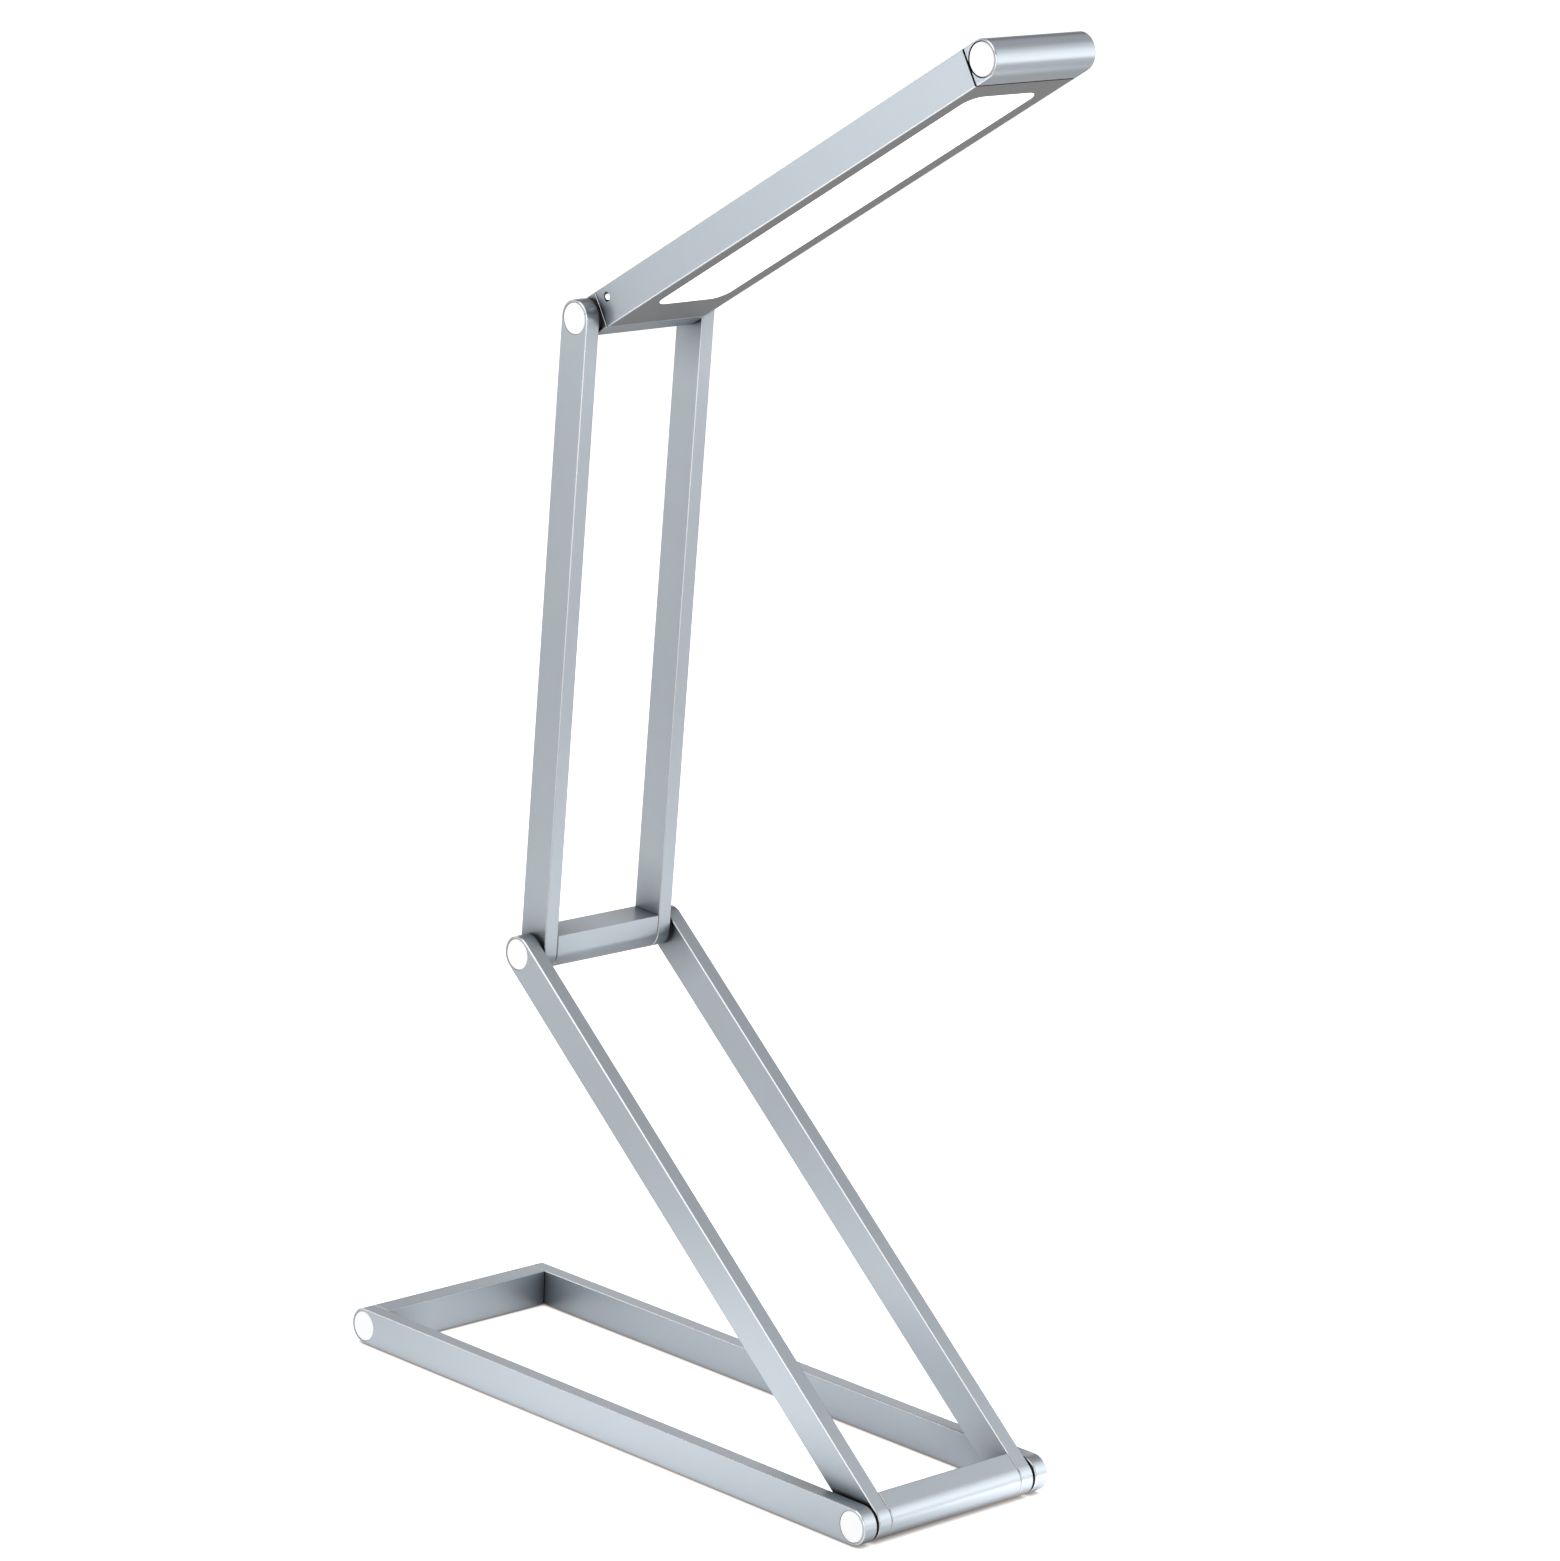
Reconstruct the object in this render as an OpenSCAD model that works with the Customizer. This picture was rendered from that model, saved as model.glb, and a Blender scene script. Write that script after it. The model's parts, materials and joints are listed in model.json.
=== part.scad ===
// Folding LED table lamp: a base and two arms, each a frame of flat aluminium bar, and a flat light
// head. Each piece nests inside the one before it, so the lamp folds into one flat bar.
// X runs from the rear of the base to the front, Y to the left, Z up. Millimetres.

/* [Frames] */
// Width of the base over both side bars
base_w = 80; // [78:1:110]
// Distance from the rear end axis of the base to the base hinge
base_len = 235; // [215:5:300]
// Height of every bar and of the head
bar_h = 12; // [11.6:0.2:15]
// Thickness of a side bar
bar_t = 5.4; // [4.8:0.2:6]
// Depth of a cross bar from its axis to its flat face
cross_depth = 6; // [5:0.5:9]
// Gap between a frame and the one that nests in it
side_gap = 1; // [0.8:0.1:1.5]
// Gap between a folded frame's round end and the cross bar that it meets
fold_clear = 1.6; // [1:0.2:4]
// Chamfer along the edges of the bars and of the head
edge_chamfer = 0.3; // [0.1:0.1:0.6]
// Chamfer round the flat end of a cross bar, of the hinge block and of the tip
end_chamfer = 0.2; // [0.1:0.05:0.2]

/* [Pose] */
// Direction of the lower arm, up from the front
lower_angle = 140; // [60:1:176]
// Direction of the upper arm, up from the front
upper_angle = 86.8; // [60:0.1:130]
// Direction of the head, up from the front
head_angle = 30.7; // [-30:0.1:80]

/* [Hinges] */
// Diameter of the white caps
cap_d = 10; // [9:0.2:10.4]
// Thickness of the white caps
cap_t = 1; // [0.8:0.1:1.2]
// Diameter of a screw's head
screw_head_d = 7.5; // [6.5:0.5:8]
// Height of a screw's head
screw_head_h = 1.4; // [1.2:0.1:1.6]
// Width of the hexagon socket in a screw's head, over its corners
socket_d = 2.9; // [2:0.1:3.4]
// Depth of the hexagon socket
socket_depth = 0.8; // [0.5:0.1:1]
// Diameter of a hinge screw's shoulder
shoulder_d = 4; // [3.6:0.2:4.6]
// Diameter of a screw's thread
thread_d = 3; // [2.5:0.1:3.4]
// Length of thread in a cross bar or a block
thread_depth = 8; // [5:0.5:12]
// Thickness of the friction spring under a hinge screw's head
spring_t = 0.4; // [0.2:0.1:0.5]
// Wall of a hinge bush
bush_wall = 1; // [0.8:0.1:1.4]
// How far a bush's flange stays inside the round end of its bar
flange_inset = 0.2; // [0.1:0.1:1]
// The same at the base hinge, where no flange shows
base_flange_inset = 1.4; // [0.1:0.1:2]
// Diameter of a dowel
dowel_d = 2; // [1.5:0.1:2.2]
// Length of a dowel
dowel_len = 8; // [5:0.5:10]
// Depth of a dowel in its side bar
dowel_seat = 2.2; // [1.5:0.1:2.2]
// Distance from the axis to a dowel
dowel_x = 3.7; // [3.6:0.1:3.8]

/* [Foot pads] */
// Length of a foot pad
pad_len = 34; // [20:1:60]
// Width of a foot pad
pad_w = 3.4; // [2.6:0.1:3.8]
// Thickness of a foot pad
pad_t = 0.8; // [0.6:0.1:1.2]
// How far a foot pad stands out of its bar
pad_proud = 0.4; // [0.2:0.1:0.5]
// Distance from an axis of the base to the middle of the nearest pad
pad_inset = 34; // [26:1:50]

/* [Head] */
// Wall of the head's shell
shell_wall = 1; // [0.8:0.1:1.3]
// Depth of the tip from its axis to its flat face
tip_depth = 5.6; // [5.6:0.1:8]
// Gap in the seams at the two ends of the shell
seam_gap = 0.4; // [0.1:0.05:0.5]
// Length of the tongues that hold the shell
tongue_len = 6; // [4:0.5:7]
// Width of the ribs inside the shell
rib_w = 0.8; // [0.6:0.1:1]
// Thickness of the bezel plate
bezel_t = 1.2; // [1:0.1:1.4]
// Bezel from the hinge block to the light window
window_margin_hinge = 16.5; // [14:0.5:25]
// Bezel from the light window to the tip
window_margin_tip = 9.1; // [8.6:0.1:20]
// Bezel on each long side of the window, with the shell's wall
window_margin_side = 6.5; // [5:0.1:8]
// Corner radius of the light window
window_r = 5; // [2:0.5:8]
// Lip of the diffuser behind the bezel
diffuser_lip = 1.5; // [1:0.1:2]
// Thickness of the diffuser's lip
diffuser_lip_t = 0.8; // [0.5:0.1:1]

/* [Inside the head] */
// Height of the reflector frame between the diffuser and the LED board
reflector_h = 2.5; // [2:0.1:2.8]
// Wall of the reflector frame
reflector_wall = 0.8; // [0.5:0.1:1.2]
// Thickness of the LED board
led_board_t = 1; // [0.8:0.1:1.2]
// Length of an LED
led_l = 3.5; // [2:0.1:5]
// Width of an LED
led_w = 2.8; // [2:0.1:4]
// Height of an LED
led_h = 0.7; // [0.4:0.1:1]
// Distance from one LED to the next in a row
led_pitch = 13; // [8:0.5:20]
// Distance between the two rows of LEDs
led_rows = 12; // [6:0.5:16]
// Thickness of the foam pad under the battery, which is also the height of the board ribs
foam_t = 0.5; // [0.4:0.1:0.8]
// Length of the battery cell
battery_l = 90; // [50:1:100]
// Width of the battery cell
battery_w = 30; // [20:1:31]
// Thickness of the battery cell
battery_t = 4.6; // [3:0.1:4.7]
// Radius of the battery cell's long edges
battery_r = 1.2; // [0.5:0.1:1.5]
// Gap between the control board and the battery cell
battery_gap = 12; // [4:1:20]
// Length of the control board
control_l = 26; // [20:1:30]
// Thickness of the control board
control_t = 0.8; // [0.6:0.1:1]
// Diameter of the hole in the shell for the charge indicator, and of the dark sleeve behind it
indicator_d = 3; // [2.6:0.1:3.4]
// Diameter of the charge indicator lens
lens_d = 1.8; // [1.4:0.1:2]
// Length of the charge indicator lens
lens_l = 2.6; // [2:0.1:4]
// How far the lens stays inside the face of the shell
lens_inset = 0.2; // [0:0.1:0.8]
// Distance from the head hinge to the charge indicator lens
lens_x = 10.4; // [9:0.1:24]
// Distance from the head hinge to the middle of the charging socket
usb_x = 12; // [11.5:0.5:24]
// Width of the charging socket
usb_w = 7.5; // [7:0.1:9]
// Height of the charging socket
usb_h = 2.6; // [2.4:0.1:3.2]
// Length of the charging socket
usb_l = 5.6; // [5:0.1:7]
// Sheet that the charging socket is folded from
usb_sheet = 0.3; // [0.2:0.05:0.5]

/* [Power button] */
// Diameter of the power button
button_d = 10.2; // [9:0.1:10.2]
// Thickness of the power button's face
button_t = 1.6; // [1.2:0.1:2.2]
// Travel of the power button
button_travel = 0.6; // [0.4:0.1:0.8]
// Wall of the skirt behind the power button's face
skirt_t = 0.5; // [0.4:0.05:0.6]
// Diameter of the switch's plunger
plunger_d = 3.2; // [2:0.1:3.6]
// How far the plunger reaches into its switch
plunger_reach = 0.8; // [0.6:0.1:1.2]
// Width of the switch's square housing
switch_w = 6; // [5:0.1:6]
// Height of the switch's housing
switch_h = 3.5; // [3:0.1:4.5]
// Gap between the power button's face and the switch
switch_gap = 2.2; // [1.6:0.1:3]
// Thickness of the switch's round board
switch_board_t = 1; // [0.8:0.1:1.4]
// Diameter of the hole for the switch's wires
wire_hole_d = 2; // [1:0.1:2.4]

/* [Clearances] */
// Clearance on each side between fixed pieces
fit_clear = 0.05; // [0.02:0.01:0.1]
// Clearance on each side in a running fit
run_clear = 0.05; // [0.02:0.01:0.1]
// Gap between the faces that turn on each other
face_clear = 0.1; // [0.05:0.05:0.2]
// Gap around a white cap
cap_clear = 0.1; // [0.05:0.05:0.15]
// Gap around a screw's head
head_clear = 0.3; // [0.2:0.05:0.35]
// Gap between a white cap and the screw behind it
cap_gap = 0.35; // [0.3:0.05:0.5]
// Gap around the power button
button_clear = 0.2; // [0.1:0.05:0.2]

/* [Hidden] */
$fn = 64;
over = 1; // how far a cutting shape reaches past the face that it opens
left = 1;
right = -1;

aluminium_colour = "#b9bdc6";
white_colour = "#fbfbfb";
steel_colour = "#9a9ca0";
black_colour = "#1c1d20";
bezel_colour = "#85878a";
board_colour = "#2f6b45";

bar_r = bar_h / 2;
link_step = bar_r + fold_clear + cross_depth;
lower_len = base_len - link_step;
upper_len = lower_len - link_step;
head_len = upper_len - link_step;
nest_step = 2 * (bar_t + side_gap);
lower_w = base_w - nest_step;
upper_w = lower_w - nest_step;
head_w = upper_w - nest_step;

axis_z = pad_proud + bar_r;
function along(angle) = [cos(angle), 0, sin(angle)];
base_axis = [base_len, 0, axis_z];
middle_axis = base_axis + lower_len * along(lower_angle);
head_axis = middle_axis + upper_len * along(upper_angle);
tip_axis = head_axis + head_len * along(head_angle);
axes_x = [0, base_axis.x, middle_axis.x, head_axis.x, tip_axis.x];
mid_x = (min(axes_x) + max(axes_x)) / 2;

end_pocket = cap_t + cap_gap + screw_head_h;
hinge_pocket = end_pocket + spring_t + face_clear;
bush_d = shoulder_d + 2 * (run_clear + bush_wall);
thread_bore_d = thread_d + 2 * fit_clear;
thread_bore_end = 0.5; // depth of a tapped hole past the end of its screw

shell_start = cross_depth + seam_gap;
shell_end = head_len - tip_depth - seam_gap;
inner_w = head_w - 2 * shell_wall;
ceiling_z = bar_r - shell_wall;
bezel_z = bezel_t - bar_r;
lip_z = bezel_z + diffuser_lip_t;
led_board_z = lip_z + reflector_h;
level_z = led_board_z + led_board_t + foam_t; // where the control board and the battery lie
window_start = cross_depth + window_margin_hinge;
window_end = head_len - tip_depth - window_margin_tip;
window_w = head_w - 2 * window_margin_side;
control_top = level_z + control_t;
lens_z = control_top + 2 * fit_clear + indicator_d / 2;
usb_z = control_top + usb_h / 2;
usb_y = head_w / 2 - usb_sheet;
battery_start = shell_start + control_l + battery_gap;

button_bore_d = button_d + 2 * button_clear;
switch_start = button_t + switch_gap;
switch_end = switch_start + switch_h;
button_bore_depth = switch_end + switch_board_t;

// Places: the frame of each link starts at its own hinge and runs along X

module in_base() {
    translate([-mid_x, 0, axis_z]) children();
}

module in_lower_arm() {
    translate(base_axis - [mid_x, 0, 0]) rotate([0, -lower_angle, 0]) children();
}

module in_upper_arm() {
    translate(middle_axis - [mid_x, 0, 0]) rotate([0, -upper_angle, 0]) children();
}

module in_head() {
    translate(head_axis - [mid_x, 0, 0]) rotate([0, -head_angle, 0]) children();
}

// Inwards from an outer face of a frame: Z starts at the face and runs into the frame
module from_face(x, w, side) {
    translate([x, side * w / 2, 0]) rotate([90 * side, 0, 0]) children();
}

// Shapes that repeat

module bar_section(w) {
    c = edge_chamfer;
    x = w / 2;
    y = bar_r;
    polygon([
        [c - x, -y], [x - c, -y], [x, c - y], [x, y - c],
        [x - c, y], [c - x, y], [-x, y - c], [-x, c - y]
    ]);
}

// A bar or block of width w from its round end's axis at 0 to its flat end at len
module round_ended_block(w, len) {
    c = edge_chamfer;
    rotate([90, 0, 90]) linear_extrude(len) bar_section(w);
    rotate([90, 0, 0]) rotate_extrude() polygon([
        [0, -w / 2], [bar_r - c, -w / 2], [bar_r, c - w / 2],
        [bar_r, w / 2 - c], [bar_r - c, w / 2], [0, w / 2]
    ]);
}

// What lies short of a flat end of width w at len: its corners are chamfered, the rest is left open
module flat_end(w, len) {
    open_side = w / 2 + over;
    open_start = len - end_chamfer - over;
    end_y = w / 2 - end_chamfer;
    polygon([
        [-bar_h, -open_side], [open_start, -open_side], [len, -end_y],
        [len, end_y], [open_start, open_side], [-bar_h, open_side]
    ]);
}

// A cross bar or block, whose flat end at len is chamfered all round
module flat_ended_block(w, len) {
    intersection() {
        round_ended_block(w, len);
        rotate([90, 0, 0]) linear_extrude(w + 2 * over, center = true) flat_end(bar_h, len);
        linear_extrude(bar_h + 2 * over, center = true) flat_end(w, len);
    }
}

// A side bar with both ends round, from axis to axis
module side_bar(len) {
    round_ended_block(bar_t, len / 2);
    translate([len, 0, 0]) mirror([1, 0, 0]) round_ended_block(bar_t, len / 2);
}

module ring(outer_d, inner_d, h) {
    difference() {
        cylinder(d = outer_d, h = h);
        translate([0, 0, -over]) cylinder(d = inner_d, h = h + 2 * over);
    }
}

module rounded_rect(x0, x1, w, r) {
    translate([x0 + r, -w / 2]) square([x1 - x0 - 2 * r, w]);
    translate([x0, r - w / 2]) square([x1 - x0, w - 2 * r]);
    for (x = [x0 + r, x1 - r], y = [r - w / 2, w / 2 - r]) translate([x, y]) circle(r);
}

module window_outline(grow) {
    rounded_rect(window_start - grow, window_end + grow, window_w + 2 * grow, window_r + grow);
}

// Hinge hardware, all placed inwards from an outer face

module cap_pocket() {
    translate([0, 0, -over]) cylinder(d = cap_d + 2 * cap_clear, h = cap_t + over);
}

module screw_pocket(depth) {
    cap_pocket();
    cylinder(d = screw_head_d + 2 * head_clear, h = depth);
}

module hinge_hole() {
    screw_pocket(hinge_pocket);
    cylinder(d = bush_d + 2 * fit_clear, h = bar_t + over);
}

module bevelled_disc(d, h) {
    bevel = 0.15;
    rotate_extrude() polygon([[0, 0], [d / 2 - bevel, 0], [d / 2, bevel], [d / 2, h], [0, h]]);
}

module cap() {
    color(white_colour) bevelled_disc(cap_d, cap_t);
}

module screw(neck_d, neck_end, thread_end) {
    head_start = cap_t + cap_gap;
    head_end = head_start + screw_head_h;
    color(steel_colour) difference() {
        rotate_extrude() polygon([
            [0, head_start], [screw_head_d / 2, head_start], [screw_head_d / 2, head_end],
            [neck_d / 2, head_end], [neck_d / 2, neck_end], [thread_d / 2, neck_end],
            [thread_d / 2, thread_end], [0, thread_end]
        ]);
        translate([0, 0, head_start - over]) cylinder(d = socket_d, h = socket_depth + over, $fn = 6);
    }
}

// A hinge screw turns with the inner frame: its shoulder ends on that frame's outer face
module hinge_screws(outer_w, inner_t) {
    face = bar_t + side_gap;
    for (side = [left, right])
        from_face(0, outer_w, side) screw(shoulder_d, face, face + inner_t + thread_depth);
}

module hinge_springs(outer_w) {
    for (side = [left, right]) from_face(0, outer_w, side) translate([0, 0, end_pocket])
        color(steel_colour) ring(screw_head_d, shoulder_d + 2 * fit_clear, spring_t);
}

// A hinge bush stays in the outer frame: a sleeve in the bar and a flange between the frames
module hinge_bushes(x, outer_w, inset) {
    inner = shoulder_d / 2 + run_clear;
    outer = bush_d / 2;
    flange = bar_r - inset;
    end = bar_t + side_gap - face_clear;
    for (side = [left, right]) from_face(x, outer_w, side) color(black_colour) rotate_extrude() polygon([
        [inner, hinge_pocket], [outer, hinge_pocket], [outer, bar_t],
        [flange, bar_t], [flange, end], [inner, end]
    ]);
}

module caps(x, w) {
    for (side = [left, right]) from_face(x, w, side) cap();
}

// A dowel joins a side bar to its cross bar, across their seam
module dowel(w, side, grow) {
    from_face(dowel_x, w, side) translate([0, 0, bar_t - dowel_seat - grow])
        cylinder(d = dowel_d + 2 * grow, h = dowel_len + 2 * grow);
}

module dowels(w) {
    for (side = [left, right]) color(steel_colour) dowel(w, side, 0);
}

module cross_bar(w) {
    inner = w - 2 * bar_t;
    color(aluminium_colour) difference() {
        flat_ended_block(inner, cross_depth);
        for (side = [left, right]) {
            from_face(0, inner, side) translate([0, 0, -over])
                cylinder(d = thread_bore_d, h = over + thread_depth + thread_bore_end);
            dowel(w, side, fit_clear);
        }
    }
}

// A side bar of an arm: its screw comes in at 0, and it carries the next hinge at len
module arm_bar(len, w, side) {
    color(aluminium_colour) difference() {
        translate([0, side * (w - bar_t) / 2, 0]) side_bar(len);
        from_face(0, w, side) translate([0, 0, -over]) cylinder(d = thread_bore_d, h = bar_t + 2 * over);
        from_face(len, w, side) hinge_hole();
        dowel(w, side, fit_clear);
    }
}

// Base

module foot_pad_places(side) {
    for (x = [pad_inset, base_len - pad_inset])
        translate([x, side * (base_w - bar_t) / 2, -bar_r]) children();
}

module foot_pad(grow, bottom, top) {
    w = pad_w + 2 * grow;
    translate([0, 0, bottom]) linear_extrude(top - bottom) {
        square([pad_len - pad_w, w], center = true);
        for (x = [pad_w - pad_len, pad_len - pad_w] / 2) translate([x, 0]) circle(d = w);
    }
}

module base_side_bar(side) {
    in_base() color(aluminium_colour) difference() {
        translate([0, side * (base_w - bar_t) / 2, 0]) side_bar(base_len);
        from_face(0, base_w, side) {
            screw_pocket(end_pocket);
            cylinder(d = thread_bore_d, h = bar_t + over);
        }
        from_face(base_len, base_w, side) hinge_hole();
        dowel(base_w, side, fit_clear);
        foot_pad_places(side) foot_pad(fit_clear, -over, pad_t - pad_proud);
    }
}

module base_side_bar_left() { base_side_bar(left); }
module base_side_bar_right() { base_side_bar(right); }
module base_cross_bar() { in_base() cross_bar(base_w); }
module base_dowels() { in_base() dowels(base_w); }
module base_end_caps() { in_base() caps(0, base_w); }
module base_hinge_caps() { in_base() caps(base_len, base_w); }
module base_hinge_bushes() { in_base() hinge_bushes(base_len, base_w, base_flange_inset); }

module base_end_screws() {
    in_base() for (side = [left, right])
        from_face(0, base_w, side) screw(thread_d, end_pocket, bar_t + thread_depth);
}

module foot_pads() {
    in_base() for (side = [left, right])
        color(black_colour) foot_pad_places(side) foot_pad(0, -pad_proud, pad_t - pad_proud);
}

// Lower arm

module lower_arm_bar_left() { in_lower_arm() arm_bar(lower_len, lower_w, left); }
module lower_arm_bar_right() { in_lower_arm() arm_bar(lower_len, lower_w, right); }
module lower_arm_cross_bar() { in_lower_arm() cross_bar(lower_w); }
module lower_arm_dowels() { in_lower_arm() dowels(lower_w); }
module base_hinge_screws() { in_lower_arm() hinge_screws(base_w, bar_t); }
module base_hinge_springs() { in_lower_arm() hinge_springs(base_w); }
module middle_hinge_caps() { in_lower_arm() caps(lower_len, lower_w); }
module middle_hinge_bushes() { in_lower_arm() hinge_bushes(lower_len, lower_w, flange_inset); }

// Upper arm

module upper_arm_bar_left() { in_upper_arm() arm_bar(upper_len, upper_w, left); }
module upper_arm_bar_right() { in_upper_arm() arm_bar(upper_len, upper_w, right); }
module upper_arm_cross_bar() { in_upper_arm() cross_bar(upper_w); }
module upper_arm_dowels() { in_upper_arm() dowels(upper_w); }
module middle_hinge_screws() { in_upper_arm() hinge_screws(lower_w, bar_t); }
module middle_hinge_springs() { in_upper_arm() hinge_springs(lower_w); }
module head_hinge_caps() { in_upper_arm() caps(upper_len, upper_w); }
module head_hinge_bushes() { in_upper_arm() hinge_bushes(upper_len, upper_w, flange_inset); }

// Head: Z runs from the light side at -bar_r to the top at bar_r

// A tongue reaches into the shell from x = 0, between the shell's ribs
module tongue(top) {
    w = inner_w - 2 * (rib_w + fit_clear);
    translate([0, -w / 2, bezel_z + fit_clear]) cube([tongue_len, w, top - bezel_z - 2 * fit_clear]);
}

module head_hinge_block() {
    in_head() color(aluminium_colour) difference() {
        union() {
            flat_ended_block(head_w, cross_depth);
            translate([cross_depth, 0, 0]) tongue(level_z - foam_t);
        }
        for (side = [left, right]) from_face(0, head_w, side) translate([0, 0, -over])
            cylinder(d = thread_bore_d, h = over + thread_depth + thread_bore_end);
    }
}

module head_hinge_screws() { in_head() hinge_screws(upper_w, 0); }
module head_hinge_springs() { in_head() hinge_springs(upper_w); }

// The shell is a channel with two pairs of ribs: the bezel lies under one, the boards on the other
module shell_section() {
    difference() {
        bar_section(head_w);
        translate([-inner_w / 2, -bar_r - over]) square([inner_w, ceiling_z + bar_r + over]);
    }
    for (side = [left, right]) translate([side * (inner_w - rib_w) / 2, 0]) {
        translate([-rib_w / 2, bezel_z]) square([rib_w, diffuser_lip_t]);
        translate([-rib_w / 2, level_z - foam_t]) square([rib_w, foam_t]);
    }
}

module head_shell() {
    in_head() color(aluminium_colour) difference() {
        translate([shell_start, 0, 0]) rotate([90, 0, 90])
            linear_extrude(shell_end - shell_start) shell_section();
        translate([lens_x, 0, lens_z]) from_face(0, head_w, right) translate([0, 0, -over])
            cylinder(d = indicator_d, h = shell_wall + 2 * over);
        translate([usb_x, head_w / 2, usb_z])
            cube([usb_w + 4 * fit_clear, 2 * (shell_wall + over), usb_h + 2 * fit_clear], center = true);
    }
}

module bezel() {
    w = inner_w - 2 * fit_clear;
    in_head() color(bezel_colour) translate([0, 0, -bar_r]) linear_extrude(bezel_t) difference() {
        translate([shell_start, -w / 2]) square([shell_end - shell_start, w]);
        window_outline(fit_clear);
    }
}

module diffuser() {
    in_head() color(white_colour) {
        translate([0, 0, -bar_r]) linear_extrude(bezel_t) window_outline(0);
        translate([0, 0, bezel_z]) linear_extrude(diffuser_lip_t) window_outline(diffuser_lip);
    }
}

module reflector_frame() {
    in_head() color(white_colour) translate([0, 0, lip_z]) linear_extrude(reflector_h) difference() {
        window_outline(diffuser_lip);
        window_outline(diffuser_lip - reflector_wall);
    }
}

module led_board() {
    in_head() color(white_colour) translate([0, 0, led_board_z])
        linear_extrude(led_board_t) window_outline(diffuser_lip);
}

module leds() {
    room = window_end - window_start - led_l - 2 * reflector_wall;
    count = floor(room / led_pitch) + 1;
    first_x = (window_start + window_end - (count - 1) * led_pitch) / 2;
    in_head() color("#f2d66b") for (i = [0 : count - 1], y = [-led_rows / 2, led_rows / 2])
        translate([first_x + i * led_pitch, y, led_board_z - led_h / 2])
            cube([led_l, led_w, led_h], center = true);
}

module battery_foam() {
    in_head() color(black_colour) translate([battery_start, -battery_w / 2, level_z - foam_t])
        cube([battery_l, battery_w, foam_t]);
}

module battery_cell() {
    in_head() color("#c9cdd2") translate([battery_start, 0, level_z + battery_t / 2]) rotate([90, 0, 90])
        linear_extrude(battery_l) rounded_rect(-battery_w / 2, battery_w / 2, battery_t, battery_r);
}

module control_board() {
    chip_l = 6;
    chip_w = 5;
    chip_h = 1;
    chip_inset = 2;
    coil_d = 5;
    coil_h = 2.5;
    parts_y = 9; // from the middle line of the board
    w = inner_w - 2 * fit_clear;
    in_head() color(board_colour) {
        translate([shell_start, -w / 2, level_z]) cube([control_l, w, control_t]);
        translate([shell_start + control_l - chip_l - chip_inset, -parts_y, control_top - fit_clear])
            cube([chip_l, chip_w, chip_h + fit_clear]);
        translate([shell_start + control_l - coil_d, parts_y, control_top - fit_clear])
            cylinder(d = coil_d, h = coil_h + fit_clear);
    }
}

// The charging socket lies on the control board, with its mouth in the left wall of the shell
module usb_socket() {
    blade_w = usb_w / 2;
    blade_t = usb_h / 4;
    in_head() color(steel_colour) translate([usb_x, usb_y, usb_z]) {
        difference() {
            translate([-usb_w / 2, -usb_l, -usb_h / 2]) cube([usb_w, usb_l, usb_h]);
            translate([usb_sheet - usb_w / 2, usb_sheet - usb_l, usb_sheet - usb_h / 2])
                cube([usb_w - 2 * usb_sheet, usb_l + over, usb_h - 2 * usb_sheet]);
        }
        translate([-blade_w / 2, -usb_l + usb_sheet / 2, -blade_t / 2])
            cube([blade_w, usb_l - 2 * usb_sheet, blade_t]);
    }
}

// The charge indicator shines through a hole in the shell's right wall, from a dark sleeve behind it
module at_indicator(depth) {
    in_head() translate([lens_x, 0, lens_z]) from_face(0, head_w, right) translate([0, 0, depth]) children();
}

module indicator_sleeve() {
    start = shell_wall + fit_clear;
    at_indicator(start) color(black_colour)
        ring(indicator_d, lens_d + 2 * fit_clear, lens_inset + lens_l - start);
}

module indicator_lens() {
    at_indicator(lens_inset) color(white_colour) bevelled_disc(lens_d, lens_l);
}

module head_tip() {
    in_head() color(aluminium_colour) translate([head_len, 0, 0]) difference() {
        union() {
            mirror([1, 0, 0]) flat_ended_block(head_w, tip_depth);
            translate([-tip_depth, 0, 0]) mirror([1, 0, 0]) tongue(ceiling_z);
        }
        from_face(0, head_w, left) cap_pocket();
        from_face(0, head_w, right) {
            translate([0, 0, -over]) cylinder(d = button_bore_d, h = button_bore_depth + over);
            translate([0, 0, switch_end - wire_hole_d / 2]) rotate([0, -90, 0])
                cylinder(d = wire_hole_d, h = tip_depth + tongue_len + over);
        }
    }
}

module tip_cap() { in_head() from_face(head_len, head_w, left) cap(); }

module switch_housing() {
    in_head() from_face(head_len, head_w, right) color(black_colour) difference() {
        translate([-switch_w / 2, -switch_w / 2, switch_start]) cube([switch_w, switch_w, switch_h]);
        translate([0, 0, switch_start - over])
            cylinder(d = plunger_d + 2 * run_clear, h = over + plunger_reach + button_travel + fit_clear);
    }
}

module switch_board() {
    in_head() from_face(head_len, head_w, right) color(board_colour) translate([0, 0, switch_end])
        cylinder(d = button_bore_d - 2 * fit_clear, h = switch_board_t);
}

// Power button: it slides inwards from the right end of the tip

module power_button() {
    bevel = 0.2;
    r = button_d / 2;
    skirt_end = switch_end - button_travel - fit_clear;
    in_head() from_face(head_len, head_w, right) color(white_colour) rotate_extrude() polygon([
        [0, 0], [r - bevel, 0], [r, bevel], [r, skirt_end],
        [r - skirt_t, skirt_end], [r - skirt_t, button_t], [0, button_t]
    ]);
}

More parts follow.
